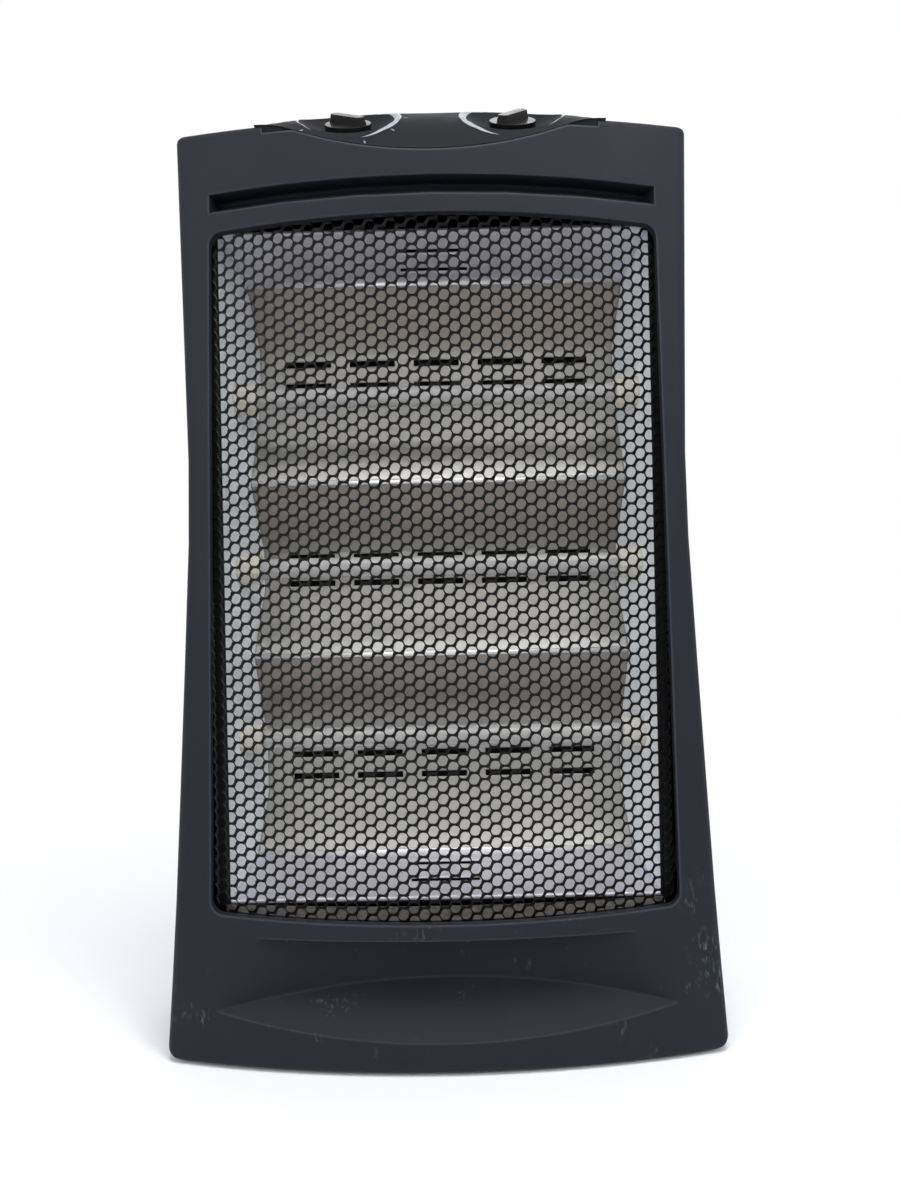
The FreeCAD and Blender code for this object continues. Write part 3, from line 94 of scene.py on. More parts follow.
def startMaterial(name):
    material = bpy.data.materials.new(name)
    material.use_nodes = True
    material.node_tree.nodes.clear()
    return material, material.node_tree


def dress(names, material):
    for name in names:
        mesh = nodes[name].data
        mesh.materials.clear()
        mesh.materials.append(material)


# the CAD skins are made of flat strips: shade them as one curve, up to a fold
fold = {"angle": 34.0, "weldMm": 0.02}


def smoothFolds(names):
    group = bpy.data.node_groups.new("smoothFolds", "GeometryNodeTree")
    group.interface.new_socket("Geometry", in_out="INPUT", socket_type="NodeSocketGeometry")
    group.interface.new_socket("Geometry", in_out="OUTPUT", socket_type="NodeSocketGeometry")
    start = addNode(group, "NodeGroupInput")
    weld = addNode(group, "GeometryNodeMergeByDistance", {"Distance": fold["weldMm"] * mm},
                   {0: start.outputs[0]})
    angle = addNode(group, "GeometryNodeInputMeshEdgeAngle")
    sharp = addNode(group, "FunctionNodeCompare",
                    {"operation": "GREATER_THAN", 1: math.radians(fold["angle"])}, {0: angle.outputs[0]})
    shaded = addNode(group, "GeometryNodeSetMeshNormal", {"mode": "SHARPNESS", "Remove Custom": True},
                     {"Mesh": weld.outputs[0], "Edge Sharpness": sharp.outputs[0]})
    addNode(group, "NodeGroupOutput", links={0: shaded.outputs[0]})
    for name in names:
        nodes[name].modifiers.new("smoothFolds", "NODES").node_group = group


smoothFolds(nodes)
print("facets smoothed")


# injection-moulded plastic: a satin spark-eroded skin with soft cloudy gloss,
# pale scuffs low down, dust on ledges, and pale convex edges: rubbed wear plus a painted highlight
skin = {  # where each mark of use starts and where it is full, for all mouldings
    "patchRange": (0.6, 0.74), "scratchRange": (0.54, 0.68), "scuffHeightM": (0.16, 0.06),
    "scratchStretch": (1.0, 1.0, 0.35), "scratchLean": (0.0, 0.5, 0.0), "ledgeRange": (0.82, 0.99),
    "glossRange": (0.3, 0.7), "edgeRange": (0.985, 0.86), "proudRange": (0.72, 0.95),
    "edgeSamples": 6, "hollowReach": 3, "grainDepth": 0.1,
}


def rubScuffs(tree, place, colour, look):
    patch = addNode(tree, "ShaderNodeTexNoise", {"Scale": perMm(look["patchMm"]), "Detail": 2.0},
                    {"Vector": place})
    start, full = skin["patchRange"]
    patchMask = addNode(tree, "ShaderNodeMapRange", {"From Min": start, "From Max": full},
                        {"Value": patch.outputs[0]})
    stretched = addNode(tree, "ShaderNodeMapping",
                        {"Scale": skin["scratchStretch"], "Rotation": skin["scratchLean"]}, {"Vector": place})
    scratch = addNode(tree, "ShaderNodeTexNoise", {"Scale": perMm(look["scratchMm"]), "Detail": 5.0},
                      {"Vector": stretched.outputs[0]})
    start, full = skin["scratchRange"]
    scratchMask = addNode(tree, "ShaderNodeMapRange", {"From Min": start, "From Max": full},
                          {"Value": scratch.outputs[0]})
    height = addNode(tree, "ShaderNodeSeparateXYZ", links={0: place}).outputs["Z"]
    start, full = skin["scuffHeightM"]
    low = addNode(tree, "ShaderNodeMapRange", {"From Min": start, "From Max": full, "To Max": look["scuff"]},
                  {"Value": height})
    where = addNode(tree, "ShaderNodeMath", {"operation": "MULTIPLY"},
                    {0: patchMask.outputs[0], 1: low.outputs[0]})
    for spotMm, sizeMm in look["rubbed"]:
        reach = addNode(tree, "ShaderNodeVectorMath",
                        {"operation": "DISTANCE", 1: [c * mm for c in spotMm]}, {0: place})
        near = addNode(tree, "ShaderNodeMapRange", {"From Min": sizeMm * mm, "From Max": 0.0},
                       {"Value": reach.outputs["Value"]})
        where = addNode(tree, "ShaderNodeMath", {"operation": "MAXIMUM"},
                        {0: where.outputs[0], 1: near.outputs[0]})
    worn = addNode(tree, "ShaderNodeMath", {"operation": "MULTIPLY"},
                   {0: where.outputs[0], 1: scratchMask.outputs[0]})
    return addNode(tree, "ShaderNodeMix", {"data_type": "RGBA", mixB: linear(look["scuffColour"])},
                   {0: worn.outputs[0], mixA: colour}).outputs[mixOut]


def settleDust(tree, place, colour, look):
    facing = addNode(tree, "ShaderNodeNewGeometry").outputs["Normal"]
    up = addNode(tree, "ShaderNodeSeparateXYZ", links={0: facing}).outputs["Z"]
    start, full = skin["ledgeRange"]
    ledge = addNode(tree, "ShaderNodeMapRange", {"From Min": start, "From Max": full, "To Max": look["dust"]},
                    {"Value": up})
    speck = addNode(tree, "ShaderNodeTexNoise", {"Scale": perMm(look["dustMm"]), "Detail": 6.0},
                    {"Vector": place})
    settled = addNode(tree, "ShaderNodeMath", {"operation": "MULTIPLY"},
                      {0: ledge.outputs[0], 1: speck.outputs[0]})
    return addNode(tree, "ShaderNodeMix", {"data_type": "RGBA", mixB: linear(look["dustColour"])},
                   {0: settled.outputs[0], mixA: colour}).outputs[mixOut]


# pale colour on convex edges: rubbed wear, and a painted highlight along lips, seams and window edges
def wearAndHighlightEdges(tree, rounded, colour, look):
    flat = addNode(tree, "ShaderNodeNewGeometry").outputs["Normal"]
    along = addNode(tree, "ShaderNodeVectorMath", {"operation": "DOT_PRODUCT"}, {0: rounded, 1: flat})
    start, full = skin["edgeRange"]
    edge = addNode(tree, "ShaderNodeMapRange", {"From Min": start, "From Max": full, "To Max": look["wearAndHighlight"]},
                   {"Value": along.outputs["Value"]})
    hollow = addNode(tree, "ShaderNodeAmbientOcclusion",
                     {"samples": skin["edgeSamples"], "Distance": look["edgeMm"] * mm * skin["hollowReach"]})
    start, full = skin["proudRange"]
    proud = addNode(tree, "ShaderNodeMapRange", {"From Min": start, "From Max": full},
                    {"Value": hollow.outputs["AO"]})
    rubbed = addNode(tree, "ShaderNodeMath", {"operation": "MULTIPLY"},
                     {0: edge.outputs[0], 1: proud.outputs[0]})
    return addNode(tree, "ShaderNodeMix", {"data_type": "RGBA", mixB: linear(look["wearAndHighlightColour"])},
                   {0: rubbed.outputs[0], mixA: colour}).outputs[mixOut]


def mouldedPlastic(name, look):
    material, tree = startMaterial(name)
    place = addNode(tree, "ShaderNodeTexCoord").outputs["Object"]
    grain = addNode(tree, "ShaderNodeTexNoise", {"Scale": perMm(look["grainMm"]), "Detail": 2.0},
                    {"Vector": place})
    cloud = addNode(tree, "ShaderNodeTexNoise", {"Scale": perMm(look["cloudMm"]), "Detail": 4.0},
                    {"Vector": place})
    colour = addNode(tree, "ShaderNodeMix",
                     {"data_type": "RGBA", mixA: linear(look["colour"]), mixB: linear(look["pale"])},
                     {0: cloud.outputs[0]}).outputs[mixOut]
    if look["scuff"] > 0:
        colour = rubScuffs(tree, place, colour, look)
    if look["dust"] > 0:
        colour = settleDust(tree, place, colour, look)
    start, full = skin["glossRange"]
    smooth, rough = look["rough"]
    gloss = addNode(tree, "ShaderNodeMapRange",
                    {"From Min": start, "From Max": full, "To Min": smooth, "To Max": rough},
                    {"Value": cloud.outputs[0]})
    rounded = addNode(tree, "ShaderNodeBevel",
                      {"samples": skin["edgeSamples"], "Radius": look["edgeMm"] * mm}).outputs[0]
    if look["wearAndHighlight"] > 0:
        colour = wearAndHighlightEdges(tree, rounded, colour, look)
    bump = addNode(tree, "ShaderNodeBump",
                   {"Strength": look["bump"], "Distance": look["grainMm"] * mm * skin["grainDepth"]},
                   {"Height": grain.outputs[0], "Normal": rounded})
    shader = addNode(tree, "ShaderNodeBsdfPrincipled",
                     {"IOR": look["ior"], "Specular IOR Level": look["specular"]},
                     {"Base Color": colour, "Roughness": gloss.outputs[0], "Normal": bump.outputs[0]})
    addNode(tree, "ShaderNodeOutputMaterial", links={"Surface": shader.outputs[0]})
    return material


# ABS from a textured tool: satin charcoal; its grain is about 0.3 mm, drawn coarser so that it shows
housingLook = {
    "colour": "#1a1c22", "pale": "#202329", "grainMm": 1.1, "cloudMm": 60, "bump": 0.35, "rough": (0.5, 0.62),
    # the edge colour here is rubbed wear and also a painted highlight along convex edges
    "edgeMm": 2.4, "ior": 1.5, "specular": 0.13, "wearAndHighlight": 0.5, "wearAndHighlightColour": "#4d525d",
    "scuff": 0.5, "patchMm": 22, "scratchMm": 2.2, "scuffColour": "#5c6472",
    "rubbed": (((157, -75, 60), 17), ((161, -73, 44), 14), ((-141, -79, 54), 5), ((-145, -78, 29), 7)),
    "dust": 0.06, "dustMm": 3.0, "dustColour": "#66625e",
}
# ABS from a finer tool: near black and even, with little gloss
panelLook = dict(housingLook, colour="#191a1d", pale="#1f2023", grainMm=0.9, bump=0.15, rough=(0.52, 0.62),
                 scuff=0.0, dust=0.08, edgeMm=0.8, wearAndHighlight=0.0, specular=0.03)
# ABS from a polished tool: black with a soft shine
knobLook = dict(panelLook, colour="#0c0c0e", pale="#131315", bump=0.1, rough=(0.28, 0.38), dust=0.0,
                edgeMm=0.5, specular=0.16)
# nitrile rubber: dull black, slightly rough
rubberLook = dict(knobLook, colour="#141414", pale="#1c1c1c", grainMm=0.8, bump=0.5, rough=(0.75, 0.9),
                  edgeMm=0.4)
# phenolic, hot pressed: dark brown with a dull shine
phenolicLook = dict(knobLook, colour="#2a2018", pale="#3a2c20", grainMm=1.1, bump=0.35, rough=(0.35, 0.5),
                    edgeMm=0.3)
# nylon: black and waxy
nylonLook = dict(phenolicLook, colour="#17181a", pale="#202124", rough=(0.4, 0.5), edgeMm=0.4)

mouldedAbs = mouldedPlastic("mouldedAbsCharcoal", housingLook)
glossAbs = mouldedPlastic("mouldedAbsSemiGloss", panelLook)
knobAbs = mouldedPlastic("mouldedAbsKnobBlack", knobLook)
feetRubber = mouldedPlastic("mouldedNitrileRubber", rubberLook)
phenolic = mouldedPlastic("pressedPhenolic", phenolicLook)
nylon = mouldedPlastic("mouldedNylonBlack", nylonLook)
dress(["front_bezel", "rear_cover", "base_plate"], mouldedAbs)
dress(["control_panel"], glossAbs)
dress(["thermostat_knob", "selector_knob"], knobAbs)
dress(["foot_%s_%s" % (end, hand) for end in ("front", "rear") for hand in hands], feetRubber)
dress(["thermostat_body", "selector_body", "thermal_cutout", "tip_micro_switch", "terminal_block"], phenolic)
dress(["cord_gland", "gland_nut"], nylon)
print("plastics dressed")


# sheet and bar metals: rolling lines along X and a gloss that follows them
rolled = {"lineStretch": (0.02, 1.0, 1.0), "glossRange": (0.3, 0.7), "heatAndPaintedReflectionRange": (-0.1, -0.35),
          "foldSamples": 6, "lineDepth": 0.05}


def rolledMetal(name, look):
    material, tree = startMaterial(name)
    place = addNode(tree, "ShaderNodeTexCoord").outputs["Object"]
    stretched = addNode(tree, "ShaderNodeMapping", {"Scale": rolled["lineStretch"]}, {"Vector": place})
    lines = addNode(tree, "ShaderNodeTexNoise", {"Scale": perMm(look["lineMm"]), "Detail": 4.0},
                    {"Vector": stretched.outputs[0]})
    cloud = addNode(tree, "ShaderNodeTexNoise", {"Scale": perMm(look["cloudMm"]), "Detail": 3.0},
                    {"Vector": place})
    colour = addNode(tree, "ShaderNodeMix",
                     {"data_type": "RGBA", mixA: linear(look["colour"]), mixB: linear(look["pale"])},
                     {0: cloud.outputs[0]}).outputs[mixOut]
    rounded = addNode(tree, "ShaderNodeBevel",
                      {"samples": rolled["foldSamples"], "Radius": look["foldMm"] * mm}).outputs[0]
    # browning on down-facing faces: heat tint, plus a painted dark reflection on the reflector's upper slopes
    if look["heatAndPaintedReflection"] > 0:  # browned where the sheet faces down to a tube
        facing = addNode(tree, "ShaderNodeSeparateXYZ", links={0: rounded}).outputs["Z"]
        start, full = rolled["heatAndPaintedReflectionRange"]
        heatAndPaintedReflectionMask = addNode(tree, "ShaderNodeMapRange",
                        {"From Min": start, "From Max": full, "To Max": look["heatAndPaintedReflection"]}, {"Value": facing})
        colour = addNode(tree, "ShaderNodeMix", {"data_type": "RGBA", mixB: linear(look["heatAndPaintedReflectionColour"])},
                         {0: heatAndPaintedReflectionMask.outputs[0], mixA: colour}).outputs[mixOut]
    start, full = rolled["glossRange"]
    smooth, rough = look["rough"]
    gloss = addNode(tree, "ShaderNodeMapRange",
                    {"From Min": start, "From Max": full, "To Min": smooth, "To Max": rough},
                    {"Value": lines.outputs[0]})
    bump = addNode(tree, "ShaderNodeBump",
                   {"Strength": look["bump"], "Distance": look["lineMm"] * mm * rolled["lineDepth"]},
                   {"Height": lines.outputs[0], "Normal": rounded})
    shader = addNode(tree, "ShaderNodeBsdfPrincipled", {"Metallic": look["metallic"]},
                     {"Base Color": colour, "Roughness": gloss.outputs[0], "Normal": bump.outputs[0]})
    addNode(tree, "ShaderNodeOutputMaterial", links={"Surface": shader.outputs[0]})
    return material


# bright rolled aluminium, browned on the faces that look down: heat tint above each tube, plus a painted dark
# reflection on the upper slopes;
# its rolling lines are really a few tenths of a millimetre apart, drawn coarser so that they show
reflectorLook = {
    "colour": "#a5a39f", "pale": "#bbb9b5", "lineMm": 1.6, "cloudMm": 40, "rough": (0.34, 0.46), "bump": 0.25,
    "metallic": 1.0, "foldMm": 1.6, "heatAndPaintedReflection": 0.9, "heatAndPaintedReflectionColour": "#9a928c",
}
# the side sheets, hazed, near white and barely metallic: a painted bright reflection of the light the polished
# sheets show
sidePaintedReflectionLook = dict(reflectorLook, colour="#f4f9fd", pale="#fcfeff", heatAndPaintedReflection=0.0, rough=(0.45, 0.55), metallic=0.12)
# the top and bottom sheets: cooler in colour, a little hazed
hoodLook = dict(reflectorLook, colour="#e0deea", pale="#efedf7", heatAndPaintedReflection=0.0, metallic=0.8)
# folded edges: bright, rubbed smooth by the folding
# bright beads on the folds: near-white metal, a painted highlight along each fold
foldHighlightLook = dict(sidePaintedReflectionLook, colour="#f2f2f2", pale="#fafafa", rough=(0.3, 0.4), foldMm=0.3, metallic=0.8)
# zinc plate: grey with a soft shine
zincLook = dict(reflectorLook, colour="#84888b", pale="#a2a5a7", heatAndPaintedReflection=0.0, rough=(0.34, 0.5), foldMm=0.3)
# black zinc on screws: dark grey
darkSteelLook = dict(zincLook, colour="#4a4b4d", pale="#5d5e60")
# resistance wire, oxidised by heat: dull brown grey
wireLook = dict(zincLook, colour="#5b4d43", pale="#6e6058", rough=(0.5, 0.65))
# iron, turned and oiled: dull grey
ironLook = dict(zincLook, colour="#6c6d6e", pale="#7d7e7f", rough=(0.42, 0.55))

polished = rolledMetal("brightRolledAluminium", reflectorLook)
sideSheetPaintedReflection = rolledMetal("rolledAluminiumSidesPaintedReflection", sidePaintedReflectionLook)
hoodSheet = rolledMetal("dullRolledAluminium", hoodLook)
zinc = rolledMetal("zincPlatedSteel", zincLook)
darkSteel = rolledMetal("blackZincScrewSteel", darkSteelLook)
wire = rolledMetal("oxidisedResistanceWire", wireLook)
iron = rolledMetal("turnedIron", ironLook)
dress(["reflector_back"], polished)
dress(["reflector_left", "reflector_right"], sideSheetPaintedReflection)
dress(["reflector_top", "reflector_bottom"], hoodSheet)
dress(["bus_strip_left", "bus_strip_right", "tip_bracket", "tip_pin", "thermostat_shaft",
       "selector_shaft", "thermostat_nut", "selector_nut"], zinc)
dress(["rear_cover_screws", "chassis_screws", "grille_screws", "base_screws"], darkSteel)
dress(["heating_coil_" + level for level in levels], wire)
dress(["tip_pendulum"], iron)
print("metals dressed")


# fused quartz, drawn with fine bubbles: a milky, glossy tube with faint streaks along it
quartzLook = {"colour": "#e4e3df", "pale": "#f7f6f3", "streakMm": 2.0, "streakStretch": (0.03, 1.0, 1.0),
              "rough": 0.06, "ior": 1.46, "through": 0.58}


def milkyQuartz(name, look):
    material, tree = startMaterial(name)
    place = addNode(tree, "ShaderNodeTexCoord").outputs["Object"]
    along = addNode(tree, "ShaderNodeMapping", {"Scale": look["streakStretch"]}, {"Vector": place})
    streak = addNode(tree, "ShaderNodeTexNoise", {"Scale": perMm(look["streakMm"]), "Detail": 4.0},
                     {"Vector": along.outputs[0]})
    colour = addNode(tree, "ShaderNodeMix",
                     {"data_type": "RGBA", mixA: linear(look["colour"]), mixB: linear(look["pale"])},
                     {0: streak.outputs[0]}).outputs[mixOut]
    shader = addNode(tree, "ShaderNodeBsdfPrincipled",
                     {"Roughness": look["rough"], "IOR": look["ior"], "Transmission Weight": look["through"]},
                     {"Base Color": colour})
    addNode(tree, "ShaderNodeOutputMaterial", links={"Surface": shader.outputs[0]})
    return material


# steatite, pressed and fired without a glaze: chalky cream
ceramicLook = dict(phenolicLook, colour="#cfc9bb", pale="#ddd8cc", grainMm=0.8, cloudMm=12, bump=0.3,
                   rough=(0.55, 0.7), edgeMm=0.4)
dress(["quartz_tube_" + level for level in levels], milkyQuartz("milkyFusedQuartz", quartzLook))
dress(["ceramic_cap_%s_%s" % (level, hand) for level in levels for hand in hands],
      mouldedPlastic("unglazedSteatite", ceramicLook))
print("tubes and caps dressed")


# small helpers for pieces
def placeObject(name, data):
    holder = bpy.data.objects.new(name, data)
    bpy.context.scene.collection.objects.link(holder)
    return holder


def meshPiece(name, points, faces, material, body):
    mesh = bpy.data.meshes.new(name)
    mesh.from_pydata(points, [], faces)
    mesh.materials.append(material)
    mesh.validate()
    piece = placeObject(name, mesh)
    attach(piece, body)
    return piece


def ringFaces(first, count):  # between a ring of points and the ring after it
    after = first + count
    return [(first + i, first + (i + 1) % count, after + (i + 1) % count, after + i) for i in range(count)]


def sag(radius, x):
    return radius - math.sqrt(radius ** 2 - x ** 2)  # how far an arc has left its crown at x


# guard: slit and stretched steel sheet, so each strand is a flat bar with a twist of its own
guard = {
    "columnMm": 6.15, "pitchMm": 7.5, "sheetMm": 0.6, "bowRadiusMm": 593.5, "frontGapMm": 0.5, "growMm": 2.6,
    "waistMm": 335.0, "waistHalfMm": 135.8, "taper": 0.0173, "topMm": 494.0, "bottomMm": 89.0,
    "topArchMm": 5.0, "bottomArchMm": 4.0, "spareCells": 3,
    "riseBar": {"widthMm": 1.45, "twist": 28.0},
    "flatBar": {"widthMm": 1.2, "twist": 12.0},
    "fallBar": {"widthMm": 0.55, "twist": -38.0},
    "knuckle": 1.75,
}
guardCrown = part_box("grille")[0].y / mm + guard["frontGapMm"]


def guardHalf(z):
    return guard["waistHalfMm"] + guard["taper"] * (guard["waistMm"] - z)


def archShare(x, z):
    return 1 - (x / guardHalf(z)) ** 2  # 1 at the middle of the arched edges, 0 at the corners


def guardInside(x, z):
    grow = guard["growMm"]
    top = guard["topMm"] + guard["topArchMm"] * archShare(x, z) + grow
    bottom = guard["bottomMm"] - guard["bottomArchMm"] * archShare(x, z) - grow
    return abs(x) <= guardHalf(z) + grow and bottom <= z <= top


def onBow(along, z, out):
    radius = guard["bowRadiusMm"]
    angle = along / radius
    x = (radius + out) * math.sin(angle)
    y = guardCrown + radius - (radius + out) * math.cos(angle)
    return (x * mm, y * mm, z * mm)


def addBar(points, faces, start, end, bar):
    along = Vector((end[0] - start[0], end[1] - start[1])).normalized()
    across = Vector((-along.y, along.x))
    twist = math.radians(bar["twist"])
    thick = guard["sheetMm"] / 2
    first = len(points)
    for share, swell in ((0.0, guard["knuckle"]), (0.5, 1.0), (1.0, guard["knuckle"])):
        wide = bar["widthMm"] / 2 * swell
        x, z = (start[i] + (end[i] - start[i]) * share for i in (0, 1))
        for side, face in ((-1, -1), (1, -1), (1, 1), (-1, 1)):
            shift = side * wide * math.cos(twist) - face * thick * math.sin(twist)
            out = side * wide * math.sin(twist) + face * thick * math.cos(twist)
            points.append(onBow(x + across.x * shift, z + across.y * shift, out))
    middle, last = first + 4, first + 8
    faces += ringFaces(first, 4) + ringFaces(middle, 4)
    faces += [(first + 3, first + 2, first + 1, first), (last, last + 1, last + 2, last + 3)]


def guardStrands():
    column, pitch = guard["columnMm"], guard["pitchMm"]
    corner = column / 1.5  # from the middle of a cell to its side corners
    middle = (guard["topMm"] + guard["bottomMm"]) / 2
    columns = int(guardHalf(guard["bottomMm"]) / column) + guard["spareCells"]
    rows = int((guard["topMm"] - guard["bottomMm"]) / 2 / pitch) + guard["spareCells"]
    points, faces = [], []
    for i in range(-columns, columns + 1):
        for j in range(-rows, rows + 1):
            x = i * column
            z = middle + (j + 0.5 * (i % 2)) * pitch
            left, right = (x - corner, z), (x + corner, z)
            topLeft, topRight = (x - corner / 2, z + pitch / 2), (x + corner / 2, z + pitch / 2)
            for start, end, bar in ((left, topLeft, "riseBar"), (topLeft, topRight, "flatBar"),
                                    (topRight, right, "fallBar")):
                if guardInside(*start) and guardInside(*end):
                    addBar(points, faces, start, end, guard[bar])
    return points, faces


def powderCoat(name, look):
    material, tree = startMaterial(name)
    place = addNode(tree, "ShaderNodeTexCoord").outputs["Object"]
    peel = addNode(tree, "ShaderNodeTexNoise", {"Scale": perMm(look["peelMm"]), "Detail": 2.0},
                   {"Vector": place})
    cloud = addNode(tree, "ShaderNodeTexNoise", {"Scale": perMm(look["cloudMm"]), "Detail": 3.0},
                    {"Vector": place})
    colour = addNode(tree, "ShaderNodeMix",
                     {"data_type": "RGBA", mixA: linear(look["colour"]), mixB: linear(look["pale"])},
                     {0: cloud.outputs[0]}).outputs[mixOut]
    bump = addNode(tree, "ShaderNodeBump",
                   {"Strength": look["bump"], "Distance": look["peelMm"] * mm * look["peelDepth"]},
                   {"Height": peel.outputs[0]})
    shader = addNode(tree, "ShaderNodeBsdfPrincipled",
                     {"Roughness": look["rough"], "IOR": look["ior"], "Specular IOR Level": look["specular"]},
                     {"Base Color": colour, "Normal": bump.outputs[0]})
    addNode(tree, "ShaderNodeOutputMaterial", links={"Surface": shader.outputs[0]})
    return material


# powder coat, baked on: black, slightly glossy, with a fine orange peel
coatLook = {"colour": "#060607", "pale": "#0b0b0c", "peelMm": 0.8, "peelDepth": 0.1, "bump": 0.3,
            "cloudMm": 15, "rough": 0.36, "ior": 1.5, "specular": 0.16}
# stove enamel on the pan: the same black, but duller
enamelLook = dict(coatLook, colour="#0a0a0b", pale="#101011", rough=0.5)
guardCoat = powderCoat("powderCoatedExpandedSteel", coatLook)
dress(["chassis_pan"], powderCoat("stoveEnamelledSteel", enamelLook))
strandPoints, strandFaces = guardStrands()
guardPiece = meshPiece("guard_mesh", strandPoints, strandFaces, guardCoat, "housing")
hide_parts("grille")
print("guard made:", len(strandFaces), "faces")


# thin bright beads along the reflector's folds between the bays: a painted highlight of the folds
foldHighlight = {"heightsMm": {"head": 483.5, "upper": 352.5, "lower": 238.5, "foot": 107.5},
       "depthMm": -10.7, "halfMm": 123.4, "tallMm": 1.7, "thickMm": 0.9, "sides": 12}
foldHighlightSheet = rolledMetal("aluminiumFoldHighlight", foldHighlightLook)


def foldHighlightBead(name, height):
    count = foldHighlight["sides"]
    points = []
    for x in (-foldHighlight["halfMm"], foldHighlight["halfMm"]):
        for i in range(count):
            turn = 2 * math.pi * i / count
            y = foldHighlight["depthMm"] + foldHighlight["thickMm"] * math.cos(turn)
            z = height + foldHighlight["tallMm"] * math.sin(turn)
            points.append((x * mm, y * mm, z * mm))
    faces = ringFaces(0, count) + [tuple(reversed(range(count))), tuple(range(count, 2 * count))]
    piece = meshPiece(name, points, faces, foldHighlightSheet, "housing")
    for face in piece.data.polygons[:count]:
        face.use_smooth = True


for label, height in foldHighlight["heightsMm"].items():
    foldHighlightBead("reflector_fold_highlight_" + label, height)


# sill of the window, behind the guard: a moulded ledge that gathers dust
sill = {"steps": 24, "halfMm": 133.0, "behindMm": 1.8, "backMm": -60.6, "riseMm": 2.2, "thickMm": 1.4,
        "dropMm": 0.2}
sillLook = dict(housingLook, scuff=0.0, wearAndHighlight=0.0, dust=1.2, dustColour="#7a7268")


def windowSill(name):
    back, rise, thick = sill["backMm"], sill["riseMm"], sill["thickMm"]
    points, faces = [], []
    for step in range(sill["steps"] + 1):
        x = sill["halfMm"] * (2 * step / sill["steps"] - 1)
        front = guardCrown + sag(guard["bowRadiusMm"], x) + sill["behindMm"]
        low = guard["bottomMm"] - guard["bottomArchMm"] * archShare(x, guard["bottomMm"]) - sill["dropMm"]
        for y, z in ((front, low), (back, low + rise), (back, low + rise - thick), (front, low - thick)):
            points.append((x * mm, y * mm, z * mm))
        if step > 0:
            faces += ringFaces(4 * (step - 1), 4)
    last = 4 * sill["steps"]
    faces = [face[::-1] for face in faces] + [(0, 1, 2, 3), (last + 3, last + 2, last + 1, last)]
    meshPiece(name, points, faces, mouldedPlastic("dustyMouldedAbs", sillLook), "housing")


windowSill("window_sill")
print("foldHighlights and sill made")


# print on the control panel: pale ink laid on the moulding by a pad, thin and a little rubbed
ink = {"colour": "#8d959c", "faded": "#6f777e", "rubMm": 3.0, "rough": 0.5, "liftMm": 0.2, "reachMm": 45.0}
crescent = {"radiusMm": 30.6, "widthMm": 4.2, "spread": 72.0, "outerWidthMm": 1.6, "outerSpread": 50.0,
            "steps": 36, "rows": (-1, -0.33, 0.33, 1), "tipMm": 0.02}
tick = {"radiusMm": 34.4, "lengthMm": 2.4, "widthMm": 0.8}
tickTurns = {"thermostat_turn": [-168.0 + 32.5 * step for step in range(9)],
             "selector_turn": [-68.0, -8.0, 52.0]}


def printedInk(name, look):
    material, tree = startMaterial(name)
    place = addNode(tree, "ShaderNodeTexCoord").outputs["Object"]
    rub = addNode(tree, "ShaderNodeTexNoise", {"Scale": perMm(look["rubMm"]), "Detail": 4.0},
                  {"Vector": place})
    colour = addNode(tree, "ShaderNodeMix",
                     {"data_type": "RGBA", mixA: linear(look["faded"]), mixB: linear(look["colour"])},
                     {0: rub.outputs[0]}).outputs[mixOut]
    shader = addNode(tree, "ShaderNodeBsdfPrincipled", {"Roughness": look["rough"]}, {"Base Color": colour})
    addNode(tree, "ShaderNodeOutputMaterial", links={"Surface": shader.outputs[0]})
    return material


inkGrey = printedInk("padPrintedInk", ink)
panelTree = BVHTree.FromObject(nodes["control_panel"], bpy.context.evaluated_depsgraph_get())


def dialFrame(jointName):
    joint = joints[jointName]
    axis = Vector(joint["axis"]).normalized()
    right = Vector((1, 0, 0))
    return Vector(joint["pos_m"]), right, axis.cross(right), axis


def pressed(dial, x, y):
    origin, right, up, axis = dial
    start = origin + (right * x + up * y + axis * ink["reachMm"]) * mm
    hit, normal = panelTree.ray_cast(start, -axis)[:2]
    return None if hit is None else hit + normal * ink["liftMm"] * mm


def printedPatch(name, dial, grid):
    points = [pressed(dial, x, y) for row in grid for x, y in row]
    wide = len(grid[0])
    faces = []
    for i in range(len(grid) - 1):
        for j in range(wide - 1):
            face = (i * wide + j, i * wide + j + 1, (i + 1) * wide + j + 1, (i + 1) * wide + j)
            if all(points[k] is not None for k in face):
                faces.append(face)
    kept = sorted({k for face in faces for k in face})
    order = {k: n for n, k in enumerate(kept)}
    faces = [tuple(order[k] for k in face) for face in faces]
    return meshPiece(name, [points[k] for k in kept], faces, inkGrey, "housing")


def crescentGrid(middle, spread, width):
    grid = []
    for step in range(crescent["steps"] + 1):
        share = 2 * step / crescent["steps"] - 1
        angle = math.radians(middle + share * spread)
        half = width / 2 * math.cos(share * math.pi / 2) + crescent["tipMm"]
        radii = [crescent["radiusMm"] + side * half for side in crescent["rows"]]
        grid.append([(radius * math.cos(angle), radius * math.sin(angle)) for radius in radii])
    return grid


def tickGrid(angle):
    turn = math.radians(angle)
    grid = []
    for along in (0.0, 0.5, 1.0):
        radius = tick["radiusMm"] + along * tick["lengthMm"]
        row = []
        for side in (-0.5, 0.5):
            across = side * tick["widthMm"]
            row.append((radius * math.cos(turn) - across * math.sin(turn),
                        radius * math.sin(turn) + across * math.cos(turn)))
        grid.append(row)
    return grid


